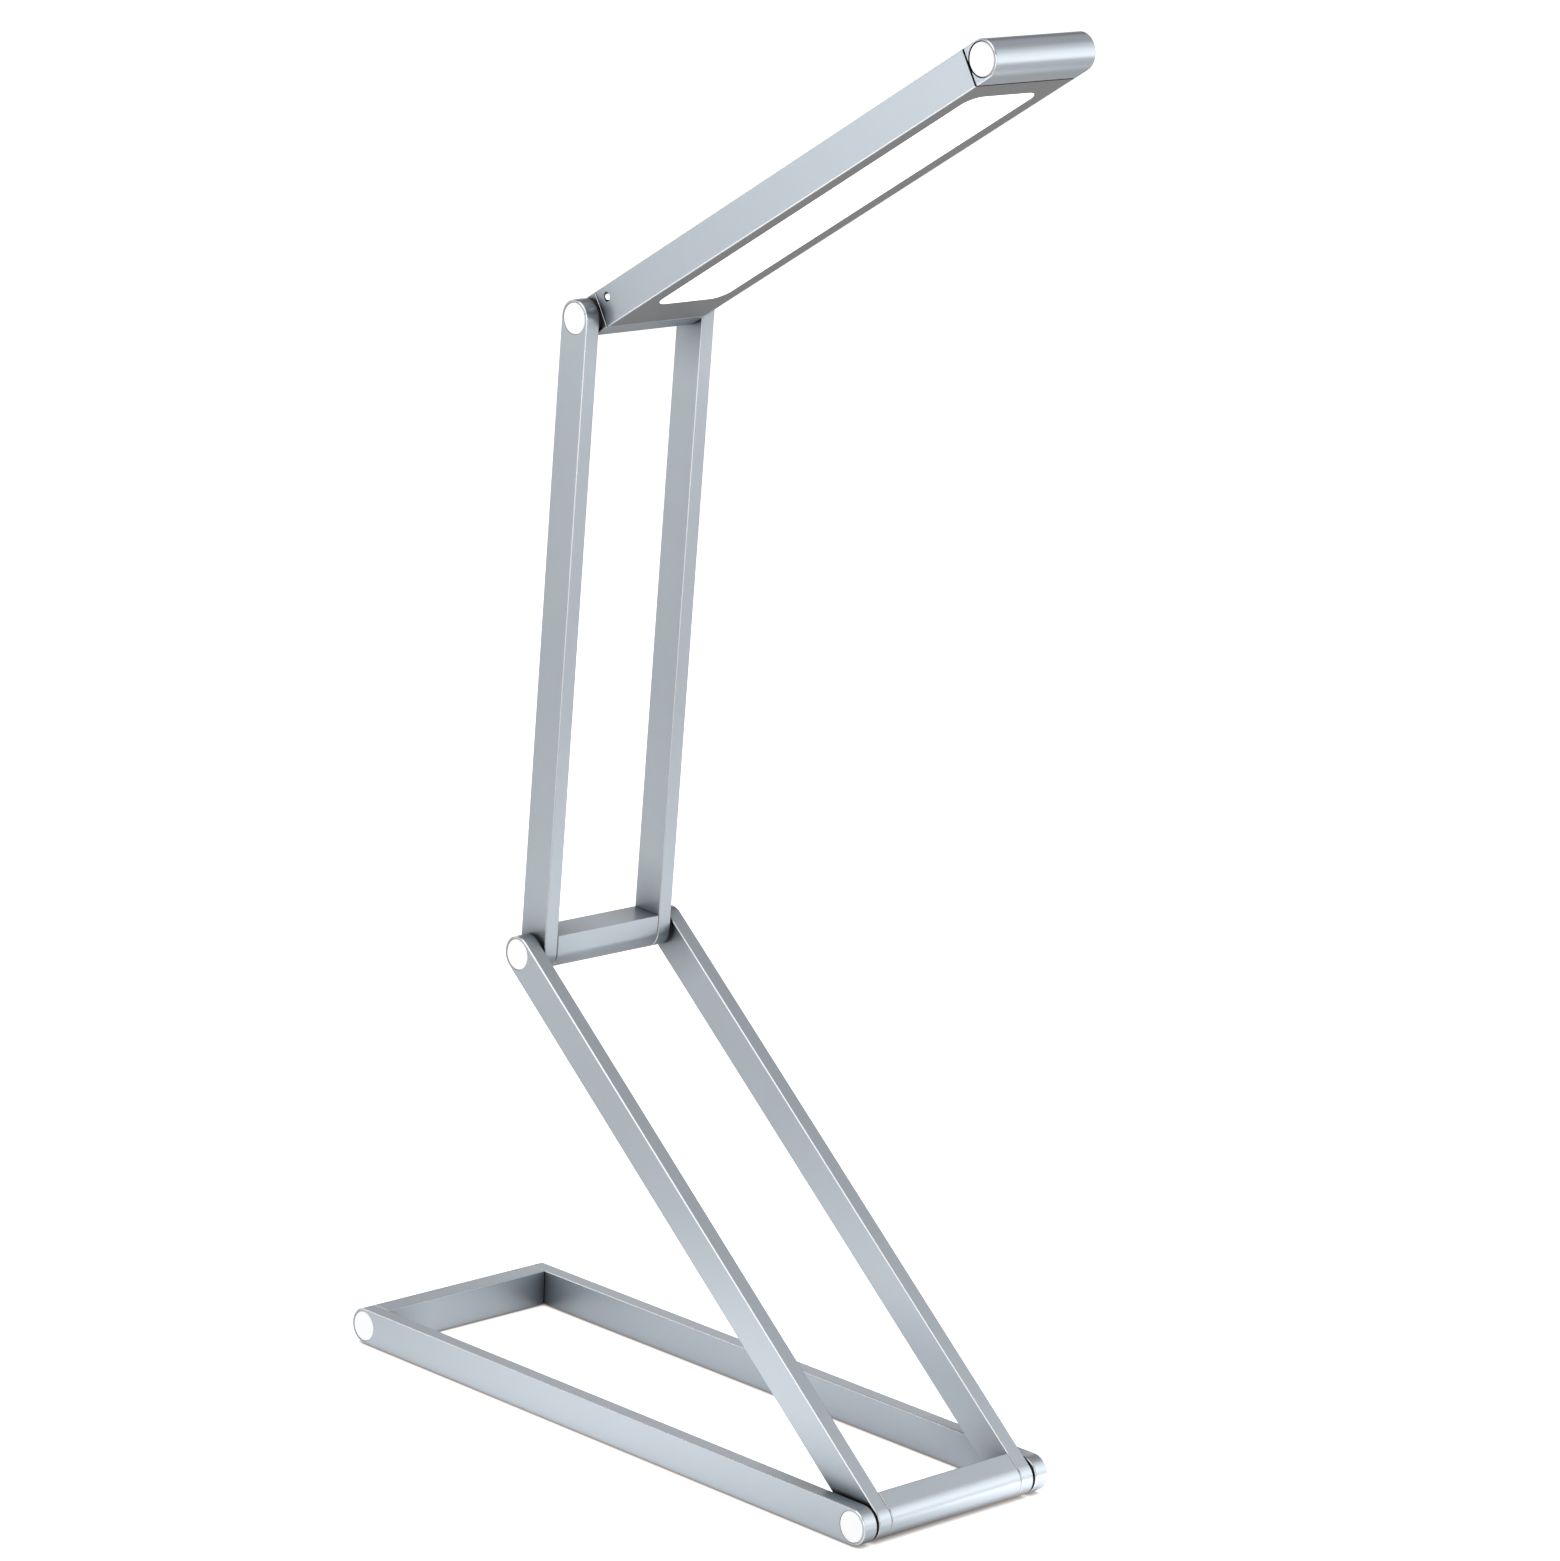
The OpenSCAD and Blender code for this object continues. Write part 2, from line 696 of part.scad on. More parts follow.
module switch_plunger() {
    in_head() from_face(head_len, head_w, right) color(black_colour) translate([0, 0, button_t])
        cylinder(d = plunger_d, h = switch_gap + plunger_reach);
}

base_side_bar_left();
base_side_bar_right();
base_cross_bar();
base_dowels();
base_end_screws();
base_end_caps();
base_hinge_caps();
base_hinge_bushes();
foot_pads();
lower_arm_bar_left();
lower_arm_bar_right();
lower_arm_cross_bar();
lower_arm_dowels();
base_hinge_screws();
base_hinge_springs();
middle_hinge_caps();
middle_hinge_bushes();
upper_arm_bar_left();
upper_arm_bar_right();
upper_arm_cross_bar();
upper_arm_dowels();
middle_hinge_screws();
middle_hinge_springs();
head_hinge_caps();
head_hinge_bushes();
head_hinge_block();
head_hinge_screws();
head_hinge_springs();
head_shell();
bezel();
diffuser();
reflector_frame();
led_board();
leds();
battery_foam();
battery_cell();
control_board();
usb_socket();
indicator_sleeve();
indicator_lens();
head_tip();
tip_cap();
switch_housing();
switch_board();
power_button();
switch_plunger();
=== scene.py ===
import json
import math

import bmesh
import bpy
from bpy.props import FloatProperty, FloatVectorProperty, IntProperty, IntVectorProperty, PointerProperty
from bpy.types import Operator, Panel, PropertyGroup
from mathutils import Matrix, Quaternion, Vector


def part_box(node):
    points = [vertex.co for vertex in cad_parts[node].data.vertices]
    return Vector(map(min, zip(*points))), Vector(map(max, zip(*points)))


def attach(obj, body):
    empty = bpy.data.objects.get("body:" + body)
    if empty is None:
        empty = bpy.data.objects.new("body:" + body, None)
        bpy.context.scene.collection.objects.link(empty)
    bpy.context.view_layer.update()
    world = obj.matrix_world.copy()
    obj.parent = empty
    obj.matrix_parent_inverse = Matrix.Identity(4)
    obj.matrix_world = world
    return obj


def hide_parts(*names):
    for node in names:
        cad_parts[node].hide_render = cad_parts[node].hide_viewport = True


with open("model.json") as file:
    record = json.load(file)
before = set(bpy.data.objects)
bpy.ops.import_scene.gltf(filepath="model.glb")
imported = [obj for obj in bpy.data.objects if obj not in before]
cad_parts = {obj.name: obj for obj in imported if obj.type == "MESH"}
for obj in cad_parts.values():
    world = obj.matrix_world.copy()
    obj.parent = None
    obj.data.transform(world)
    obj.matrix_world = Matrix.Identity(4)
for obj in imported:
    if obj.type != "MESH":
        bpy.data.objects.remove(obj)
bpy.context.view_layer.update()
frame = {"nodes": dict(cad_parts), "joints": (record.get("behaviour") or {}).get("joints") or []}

bl_info = {
    "name": "Folding table lamp",
    "version": (1, 0, 0),
    "blender": (4, 5, 0),
    "location": "View3D > Sidebar > Lamp",
    "description": "Finishes a folding aluminium table lamp and sets it on a white studio floor",
    "category": "Object",
}

HEAD_HINGE = Vector(next(j for j in frame["joints"] if j["name"] == "head_hinge")["pos_m"])
HEAD_SLOPE = math.radians(30.7)    # how steeply the head rises as modelled
ALONG_HEAD = Vector((math.cos(HEAD_SLOPE), 0, math.sin(HEAD_SLOPE)))
BLOCK_END = 0.006    # from the head hinge to the flat end of the hinge block
TIP_START = 0.1886   # from the head hinge to the flat end of the tip
SKIN = 0.00001       # how far a mask starts short of the face that it covers
SEAM_SHADOW = 0.00035       # how far the painted black shadow line of the tip's seam reaches onto its side, and past the button's bore
WIDE_CORNER_SHADE = 0.05  # how far painted corner shade reaches on the hinge block and the bezel
SEAM_SHADE_BLACK = (0.004, 0.004, 0.005)    # colour of the shade painted black inside the seams
CHAMFER_LEAN = math.sqrt(0.5)      # how far a chamfer's normal leans along Y
LEAN_SPREAD = 0.15                 # how much of either side of that still counts as a chamfer
PATCH_SHARE = 0.45                 # share of the large patches in a surface's tone, beside the grains
PHOSPHOR_SHARE = (0.68, 0.6, 0.3)  # length, width and height of an LED's filling in its package
PHOSPHOR_DEPTH = 0.55              # how deep the filling's middle lies, as a share of the package's height
SENSOR_WIDTH = 36.0                # width of the camera's sensor in millimetres
CONTACT_COUNT = 5                  # contacts of the charging socket
CONTACT_BEVEL = 0.00003
CHIP_BEVEL = 0.00006
# From the head's own frame, whose X runs along the head and whose Z runs to its top, to the lamp's
HEAD_PLACE = Matrix.Translation(HEAD_HINGE) @ Matrix.Rotation(-HEAD_SLOPE, 4, "Y")

ALUMINIUM_NODES = (
    "base_side_bar_left", "base_side_bar_right", "base_cross_bar",
    "lower_arm_bar_left", "lower_arm_bar_right", "lower_arm_cross_bar",
    "upper_arm_bar_left", "upper_arm_bar_right", "upper_arm_cross_bar",
    "head_shell",
)
CAP_NODES = (
    "base_end_caps", "base_hinge_caps", "middle_hinge_caps", "head_hinge_caps",
    "tip_cap", "power_button",
)
STEEL_NODES = (
    "base_dowels", "base_end_screws", "lower_arm_dowels", "base_hinge_screws", "base_hinge_springs",
    "upper_arm_dowels", "middle_hinge_screws", "middle_hinge_springs", "head_hinge_screws",
    "head_hinge_springs", "usb_socket",
)
NYLON_NODES = (
    "middle_hinge_bushes", "head_hinge_bushes",
    "switch_housing", "switch_plunger", "indicator_sleeve",
)

# Finishes of the small parts: roughness, and size and depth of the grain. The colour is a property where a
# user would change it, and stands here otherwise. The reach is how far painted corner shade darkens the
# colour.
FINISHES = {
    "White caps": dict(roughness=0.3, grain=0.0008, depth=0.000004, coat=0.3, mottle=0.015),
    "Plated steel": dict(roughness=0.32, grain=0.0003, depth=0.000006, metallic=1.0),
    "Black nylon": dict(roughness=0.45, grain=0.0004, depth=0.00001),
    "Grey nylon": dict(roughness=0.45, grain=0.0004, depth=0.00001),
    "Silicone rubber": dict(roughness=0.75, grain=0.0004, depth=0.00002),
    "Bezel paint": dict(roughness=0.4, grain=0.0005, depth=0.000008, reach=WIDE_CORNER_SHADE),
    "Lit opal plastic": dict(roughness=0.45, grain=0.0004, depth=0.000004, colour=(0.9, 0.9, 0.9)),
    "White plastic": dict(roughness=0.5, grain=0.0005, depth=0.000006, colour=(0.85, 0.85, 0.85)),
    "Phosphor": dict(roughness=0.35, grain=0.0003, depth=0.00001, colour=(0.85, 0.62, 0.12)),
    "Solder mask": dict(roughness=0.35, grain=0.0006, depth=0.00001, coat=0.4, colour=(0.01, 0.10, 0.04)),
    "Pouch foil": dict(roughness=0.3, grain=0.002, depth=0.00003, metallic=1.0, colour=(0.6, 0.61, 0.63)),
    "Foam": dict(roughness=0.9, grain=0.0004, depth=0.00006, colour=(0.02, 0.02, 0.02)),
    "Gilded contacts": dict(roughness=0.25, grain=0.0003, depth=0.000002, metallic=1.0,
                            colour=(0.80, 0.58, 0.24)),
    "Chip ceramic": dict(roughness=0.5, grain=0.0003, depth=0.000004, colour=(0.03, 0.028, 0.026)),
}
PLAIN_FINISH = dict(metallic=0.0, coat=0.0, mottle=0.04, reach=0.0)

# Softboxes of the studio: place of the middle, what it looks at, width, height and radiance
SOFTBOXES = {
    "Right low": ((0.80, 0.96, 0.29), (0.0, 0.0, 0.29), 1.3, 0.38, 1.90),
    "Right middle": ((0.80, 0.96, 0.67), (0.0, 0.0, 0.67), 1.3, 0.44, 1.55),
    "Right high": ((0.80, 0.96, 1.12), (0.0, 0.0, 1.12), 1.3, 0.44, 0.95),
    "Back left": ((-1.35, 0.65, 0.45), (0.0, 0.0, 0.45), 0.6, 0.9, 0.42),
    "Back": ((-0.85, 1.00, 0.50), (0.0, 0.0, 0.45), 0.6, 0.7, 0.70),
    "Left front": ((-0.60, -0.62, 0.50), (0.0, 0.0, 0.45), 1.0, 0.5, 0.26),
    "Front": ((-0.60, -1.35, 0.50), (0.0, 0.0, 0.3), 1.4, 1.1, 1.29),
    "Front high": ((0.10, -1.30, 1.60), (0.0, 0.0, 0.2), 1.6, 1.4, 1.10),
    "Back high": ((0.10, 1.00, 1.42), (0.0, 0.0, 0.3), 1.2, 0.6, 0.40),
    "Overhead": ((0.0, 0.0, 2.0), (0.0, 0.0, 0.0), 1.6, 1.6, 0.70),
    "Left high": ((-1.60, -0.10, 1.00), (0.0, 0.0, 0.3), 1.2, 0.9, 0.80),
    "By the camera": ((1.55, -1.45, 0.60), (0.0, 0.0, 0.3), 1.6, 1.1, 1.30),
}
# Painted reflections, patches of floor that glow only where the metal mirrors them: place, radius and how
# much
FLOOR_REFLECTION_SPOTS = {
    "Beside the hinge end": ((0.18, 0.06, 0.0), 0.12, 2.20),
    "Beside the near bar": ((-0.02, -0.12, 0.0), 0.28, 0.90),
    "Behind the far bar": ((0.25, 0.27, 0.0), 0.30, 1.03),
    "Far to the right": ((0.65, 0.60, 0.0), 0.50, 0.20),
    "Far to the left": ((-0.42, -0.42, 0.0), 0.33, 0.65),
    "Towards the camera": ((0.95, -1.05, 0.0), 0.9, 0.95),
}


# Sizes and colours that a user would change

def colour_property(name, description, default):
    return FloatVectorProperty(name=name, description=description, default=default, subtype="COLOR",
                               size=3, min=0.0, max=1.0)


def length_property(name, description, default):
    return FloatProperty(name=name, description=description, default=default, min=0.0, unit="LENGTH",
                         subtype="DISTANCE", precision=5)


def share_property(name, description, default):
    return FloatProperty(name=name, description=description, default=default, min=0.0, max=2.0,
                         subtype="FACTOR")


def size_property(name, description, default, size=3):
    return FloatVectorProperty(name=name, description=description, default=default, size=size,
                               subtype="XYZ", unit="LENGTH")


class LampMetal(PropertyGroup):
    """The satin aluminium of the frames and the head."""
    colour: colour_property("Aluminium", "Colour of the satin anodised aluminium", (0.50, 0.547, 0.593))
    # Painted highlight: the chamfers get a brighter colour than the faces, for the light lines along the
    # bars' edges
    edge_colour: colour_property("Painted edge highlight", "Colour of the bright chamfers along the bars",
                                 (0.85, 0.865, 0.88))
    edge_round: length_property("Edge round", "Radius to which the edges are polished", 0.0003)
    roughness: share_property("Roughness", "Roughness of the blasted faces", 0.35)
    edge_roughness: share_property("Edge roughness", "Roughness of the bright chamfers", 0.25)
    grain: length_property("Grain", "Size of the grains that blasting leaves", 0.0005)
    grain_depth: length_property("Grain depth", "Depth of the blasted grain", 0.000012)
    mottle: share_property("Mottle", "How much the anodised tone varies", 0.14)
    # Painted corner shade: how far from a corner the metal's colour darkens, and how strongly
    corner_reach: length_property("Corner reach", "How far from a corner the metal starts to darken", 0.020)
    corner_depth: share_property("Corner depth", "How strongly it darkens there", 1.5)


class LampTrim(PropertyGroup):
    """The plastic, steel and light of the lamp."""
    cap_colour: colour_property("Caps", "Colour of the white caps and the button", (0.96, 0.965, 0.97))
    # Painted light: a glow that makes the caps render whiter, though they are no lamp
    cap_painted_glow: share_property("Cap glow", "Light that the caps give off beyond their colour", 0.22)
    bezel_colour: colour_property("Bezel", "Colour of the painted bezel round the light", (0.25, 0.25, 0.254))
    steel_colour: colour_property("Steel", "Colour of the screws, springs and dowels", (0.55, 0.55, 0.56))
    nylon_colour: colour_property("Nylon", "Colour of the black bushes, switch and indicator sleeve",
                                  (0.012, 0.012, 0.014))
    bush_colour: colour_property("Base bushes", "Colour of the base hinge's bushes", (0.65, 0.66, 0.67))
    pad_colour: colour_property("Pads", "Colour of the foot pads", (0.02, 0.02, 0.022))
    light_colour: colour_property("Light", "Colour of the lit diffuser", (1.0, 0.99, 0.97))
    light_strength: FloatProperty(name="Light strength", description="How bright the lit diffuser is",
                                  default=1.5, min=0.0)


class LampParts(PropertyGroup):
    """Small parts that repeat. Places on the head are in its own frame."""
    pad_length: length_property("Pad length", "Length of a foot pad", 0.034)
    pad_width: length_property("Pad width", "Width of a foot pad", 0.0034)
    rib_count: IntProperty(name="Ribs", description="Grip ribs under each foot pad", default=18, min=1)
    rib_pitch: length_property("Rib pitch", "Distance from one rib to the next", 0.0016)
    rib_radius: length_property("Rib radius", "Radius of a rib", 0.00035)
    led_count: IntProperty(name="LEDs", description="LEDs in each of the two rows", default=12, min=1)
    led_pitch: length_property("LED pitch", "Distance from one LED to the next", 0.013)
    led_size: size_property("LED", "Length, width and height of an LED", (0.0035, 0.0028, 0.0007))
    led_place: size_property("First LED", "Middle of the first LED's back", (0.0295, 0.006, -0.0015))
    contact_pitch: length_property("Contact pitch", "Distance between the socket's contacts", 0.00065)
    contact_size: size_property("Contact", "Width, length and thickness of a contact",
                                (0.00035, 0.004, 0.0001))
    contact_place: size_property("Middle contact", "Middle of the middle contact", (0.012, 0.0177, 0.00174))
    chip_size: size_property("Chip", "Length, width and height of a chip on the board",
                             (0.0016, 0.0008, 0.0005))
    chip_place: size_property("First chip", "Middle of the first chip's foot", (0.0095, -0.012, 0.0008))
    chip_step: size_property("Chip step", "Distance between the chips each way", (0.0028, 0.003), size=2)
    chip_counts: IntVectorProperty(name="Chips", description="Chips along and across the board",
                                   size=2, default=(5, 8), min=1)


class LampStage(PropertyGroup):
    """The floor, the lamps of the studio and the camera."""
    camera_place: size_property("Camera", "Where the camera stands", (1.32602, -1.24078, 0.65587))
    camera_heading: FloatProperty(name="Heading", description="Direction of view on the floor, from X",
                                  default=math.radians(136.308), subtype="ANGLE", unit="ROTATION")
    camera_pitch: FloatProperty(name="Pitch", description="Direction of view above the horizon",
                                default=math.radians(-13.684), subtype="ANGLE", unit="ROTATION")
    camera_roll: FloatProperty(name="Roll", description="Turn of the camera about its view",
                               default=math.radians(2.146), subtype="ANGLE", unit="ROTATION")
    camera_lens: FloatProperty(name="Lens", description="Focal length in millimetres, for the sensor's width",
                               default=136.71, min=1.0)
    floor_size: length_property("Floor", "Width of the floor", 12.0)
    floor_colour: colour_property("Floor colour", "Colour of the floor", (0.72, 0.72, 0.72))
    floor_glow: colour_property("Floor glow", "What the camera sees on top of its colour", (1.0, 1.0, 1.0))
    contact_colour: colour_property("Contact shadow", "Colour of the floor right under the lamp",
                                    (0.16, 0.12, 0.10))
    contact_reach: length_property("Contact reach", "How far the contact shadow reaches", 0.0019)
    mirror_reach: length_property("Mirrored reach", "How far it reaches where the metal mirrors it", 0.0045)
    sky_colour: colour_property("Sky", "Light from all round", (0.20, 0.20, 0.20))


# Node trees

def place_node(tree, kind, x, y, **settings):
    made = tree.nodes.new(kind)
    made.location = (x, y)
    for key, value in settings.items():
        setattr(made, key, value)
    return made


def new_group(name, inputs, outputs):
    """A shader node group with inputs {name: (kind, default)} and outputs {name: kind}."""
    tree = bpy.data.node_groups.new(name, "ShaderNodeTree")
    for socket, (kind, default) in inputs.items():
        made = tree.interface.new_socket(name=socket, in_out="INPUT", socket_type=kind)
        made.default_value = default
    for socket, kind in outputs.items():
        tree.interface.new_socket(name=socket, in_out="OUTPUT", socket_type=kind)
    return tree, place_node(tree, "NodeGroupInput", -900, 0), place_node(tree, "NodeGroupOutput", 700, 0)


def new_material(name):
    material = bpy.data.materials.new(name)
    material.use_nodes = True
    tree = material.node_tree
    return material, tree, tree.nodes["Principled BSDF"]


def use_group(tree, group, x, y, **values):
    made = place_node(tree, "ShaderNodeGroup", x, y, node_tree=group)
    for key, value in values.items():
        made.inputs[key.replace("_", " ")].default_value = value
    return made


def grain_group():
    """Grains, mottle and fine wear of a surface, in object coordinates."""
    tree, given, out = new_group(
        "Surface grain",
        {
            "Colour": ("NodeSocketColor", (0.5, 0.5, 0.5, 1)),
            "Grain size": ("NodeSocketFloat", 0.0005),
            "Mottle": ("NodeSocketFloat", 0.06),
            "Mottle size": ("NodeSocketFloat", 0.03),
            "Roughness": ("NodeSocketFloat", 0.4),
            "Roughness spread": ("NodeSocketFloat", 0.1),
        },
        {"Colour": "NodeSocketColor", "Roughness": "NodeSocketFloat", "Height": "NodeSocketFloat"},
    )
    link = tree.links.new
    where = place_node(tree, "ShaderNodeTexCoord", -900, -300)

    def noise(size_socket, y, detail, roughness=0.5):
        per_metre = place_node(tree, "ShaderNodeMath", -650, y, operation="DIVIDE")
        per_metre.inputs[0].default_value = 1.0
        link(size_socket, per_metre.inputs[1])
        texture = place_node(tree, "ShaderNodeTexNoise", -450, y)
        texture.inputs["Detail"].default_value = detail
        texture.inputs["Roughness"].default_value = roughness
        link(where.outputs["Object"], texture.inputs["Vector"])
        link(per_metre.outputs[0], texture.inputs["Scale"])
        return texture.outputs["Fac"]

    grains = noise(given.outputs["Grain size"], 200, 2.0, 0.7)
    patches = noise(given.outputs["Mottle size"], -100, 3.0)
    both = place_node(tree, "ShaderNodeMix", -200, 60, data_type="FLOAT")
    both.inputs["Factor"].default_value = PATCH_SHARE
    link(grains, both.inputs["A"])
    link(patches, both.inputs["B"])
    centred = place_node(tree, "ShaderNodeMath", 0, 60, operation="SUBTRACT")
    centred.inputs[1].default_value = 0.5
    link(both.outputs["Result"], centred.inputs[0])
    tone = place_node(tree, "ShaderNodeMath", 180, 60, operation="MULTIPLY_ADD")
    tone.inputs[2].default_value = 1.0
    link(centred.outputs[0], tone.inputs[0])
    link(given.outputs["Mottle"], tone.inputs[1])
    tinted = place_node(tree, "ShaderNodeVectorMath", 400, 120, operation="SCALE")
    link(given.outputs["Colour"], tinted.inputs[0])
    link(tone.outputs[0], tinted.inputs["Scale"])
    rough = place_node(tree, "ShaderNodeMath", 400, -60, operation="MULTIPLY_ADD")
    link(centred.outputs[0], rough.inputs[0])
    link(given.outputs["Roughness spread"], rough.inputs[1])
    link(given.outputs["Roughness"], rough.inputs[2])
    link(tinted.outputs[0], out.inputs["Colour"])
    link(rough.outputs[0], out.inputs["Roughness"])
    link(grains, out.inputs["Height"])
    return tree


def edge_highlight_group():
    """A mask of the chamfers along the bars, found by how far their normal leans along Y, where a brighter
    colour is painted as a highlight.
    """
    tree, _, out = new_group("Painted edge highlight", {}, {"Mask": "NodeSocketFloat"})
    link = tree.links.new
    where = place_node(tree, "ShaderNodeTexCoord", -600, 0)
    parts = place_node(tree, "ShaderNodeSeparateXYZ", -400, 0)
    lean = place_node(tree, "ShaderNodeMath", -200, 0, operation="ABSOLUTE")
    link(where.outputs["Normal"], parts.inputs[0])
    link(parts.outputs["Y"], lean.inputs[0])
    band = place_node(tree, "ShaderNodeMath", 0, 0, operation="COMPARE")
    band.inputs[1].default_value = CHAMFER_LEAN
    band.inputs[2].default_value = LEAN_SPREAD
    link(lean.outputs[0], band.inputs[0])
    link(band.outputs[0], out.inputs["Mask"])
    return tree


def painted_corner_shade_group():
    """Paints shade into a colour in corners and seams, darkening it by occlusion where satin metal mirrors
    only the dull metal beside it.
    """
    tree, given, out = new_group(
        "Painted corner shade",
        {
            "Colour": ("NodeSocketColor", (0.5, 0.5, 0.5, 1)),
            "Reach": ("NodeSocketFloat", 0.02),
            "Depth": ("NodeSocketFloat", 1.5),
        },
        {"Colour": "NodeSocketColor"},
    )
    link = tree.links.new
    free = place_node(tree, "ShaderNodeAmbientOcclusion", -400, -100, samples=8)
    share = place_node(tree, "ShaderNodeMath", -100, -100, operation="POWER")
    shaded = place_node(tree, "ShaderNodeVectorMath", 200, 0, operation="SCALE")
    link(given.outputs["Reach"], free.inputs["Distance"])
    link(free.outputs["AO"], share.inputs[0])
    link(given.outputs["Depth"], share.inputs[1])
    link(given.outputs["Colour"], shaded.inputs[0])
    link(share.outputs[0], shaded.inputs["Scale"])
    link(shaded.outputs[0], out.inputs["Colour"])
    return tree


def past_plane_group():
    """A mask of what lies past a plane, in object coordinates."""
    tree, given, out = new_group(
        "Past a plane",
        {"Place": ("NodeSocketVector", (0, 0, 0)), "Direction": ("NodeSocketVector", (1, 0, 0))},
        {"Mask": "NodeSocketFloat"},
    )
    link = tree.links.new
    where = place_node(tree, "ShaderNodeTexCoord", -600, 0)
    offset = place_node(tree, "ShaderNodeVectorMath", -400, 0, operation="SUBTRACT")
    reach = place_node(tree, "ShaderNodeVectorMath", -200, 0, operation="DOT_PRODUCT")
    past = place_node(tree, "ShaderNodeMath", 0, 0, operation="GREATER_THAN")
    past.inputs[1].default_value = 0.0
    link(where.outputs["Object"], offset.inputs[0])
    link(given.outputs["Place"], offset.inputs[1])
    link(offset.outputs[0], reach.inputs[0])
    link(given.outputs["Direction"], reach.inputs[1])
    link(reach.outputs["Value"], past.inputs[0])
    link(past.outputs[0], out.inputs["Mask"])
    return tree


def bore_group():
    """A mask of what lies within a radius of an axis along Y, in object coordinates."""
    tree, given, out = new_group(
        "Inside a bore",
        {"Place": ("NodeSocketVector", (0, 0, 0)), "Radius": ("NodeSocketFloat", 0.005)},
        {"Mask": "NodeSocketFloat"},
    )
    link = tree.links.new
    where = place_node(tree, "ShaderNodeTexCoord", -700, 0)
    offset = place_node(tree, "ShaderNodeVectorMath", -500, 0, operation="SUBTRACT")
    across = place_node(tree, "ShaderNodeVectorMath", -300, 0, operation="MULTIPLY")
    across.inputs[1].default_value = (1, 0, 1)
    length = place_node(tree, "ShaderNodeVectorMath", -100, 0, operation="LENGTH")
    inside = place_node(tree, "ShaderNodeMath", 150, 0, operation="LESS_THAN")
    link(where.outputs["Object"], offset.inputs[0])
    link(given.outputs["Place"], offset.inputs[1])
    link(offset.outputs[0], across.inputs[0])
    link(across.outputs[0], length.inputs[0])
    link(length.outputs["Value"], inside.inputs[0])
    link(given.outputs["Radius"], inside.inputs[1])
    link(inside.outputs[0], out.inputs["Mask"])
    return tree


def add_bump(tree, shader, height, distance, edge_round=0.0):
    """Bumps of that height, on edges that are rounded by that radius."""
    bump = place_node(tree, "ShaderNodeBump", -250, -300)
    bump.inputs["Distance"].default_value = distance
    tree.links.new(height, bump.inputs["Height"])
    tree.links.new(bump.outputs["Normal"], shader.inputs["Normal"])
    if edge_round:
        bevel = place_node(tree, "ShaderNodeBevel", -500, -400)
        bevel.inputs["Radius"].default_value = edge_round
        tree.links.new(bevel.outputs["Normal"], bump.inputs["Normal"])


def aluminium_material(metal, name="Satin aluminium", shade_past=None, black_bore=None, reach=None):
    """The satin metal with its painted edge highlight and painted corner shade, and with shade painted black
    past a plane (place and direction) and inside a bore (place and radius).
    """
    groups = shared_groups()
    material, tree, shader = new_material(name)
    link = tree.links.new
    face = use_group(tree, groups["grain"], -900, 200, Colour=(*metal.colour, 1), Grain_size=metal.grain,
                     Mottle=metal.mottle, Roughness=metal.roughness, Roughness_spread=0.12)
    edge = use_group(tree, groups["edge"], -900, -150)
    # Painted highlight: the chamfers take the brighter edge colour
    colour = place_node(tree, "ShaderNodeMix", -500, 200, data_type="RGBA")
    colour.inputs["B"].default_value = (*metal.edge_colour, 1)
    rough = place_node(tree, "ShaderNodeMix", -500, -20, data_type="FLOAT")
    rough.inputs["B"].default_value = metal.edge_roughness
    link(edge.outputs["Mask"], colour.inputs["Factor"])
    link(edge.outputs["Mask"], rough.inputs["Factor"])
    link(face.outputs["Colour"], colour.inputs["A"])
    link(face.outputs["Roughness"], rough.inputs["A"])
    # Painted corner shade: the colour darkens by occlusion in corners and seams
    corner = use_group(tree, groups["corner"], -300, 120, Reach=reach or metal.corner_reach,
                       Depth=metal.corner_depth)
    link(colour.outputs["Result"], corner.inputs["Colour"])
    link(corner.outputs["Colour"], shader.inputs["Base Color"])
    link(rough.outputs["Result"], shader.inputs["Roughness"])
    shader.inputs["Metallic"].default_value = 1.0
    add_bump(tree, shader, face.outputs["Height"], metal.grain_depth, edge_round=metal.edge_round)
    # Painted shade: black past the plane and inside the bore, standing in for the shade in the seams
    if shade_past:
        place, direction = shade_past
        past = use_group(tree, groups["plane"], -500, 450, Place=place, Direction=direction)
        black = place_node(tree, "ShaderNodeMix", -200, 300, data_type="RGBA")
        black.inputs["B"].default_value = (*SEAM_SHADE_BLACK, 1)
        mask = past.outputs["Mask"]
        if black_bore:
            hole = use_group(tree, groups["bore"], -500, 650, Place=black_bore[0], Radius=black_bore[1])
            either = place_node(tree, "ShaderNodeMath", -350, 550, operation="MAXIMUM")
            link(mask, either.inputs[0])
            link(hole.outputs["Mask"], either.inputs[1])
            mask = either.outputs[0]
        link(mask, black.inputs["Factor"])
        link(corner.outputs["Colour"], black.inputs["A"])
        link(black.outputs["Result"], shader.inputs["Base Color"])
    return material


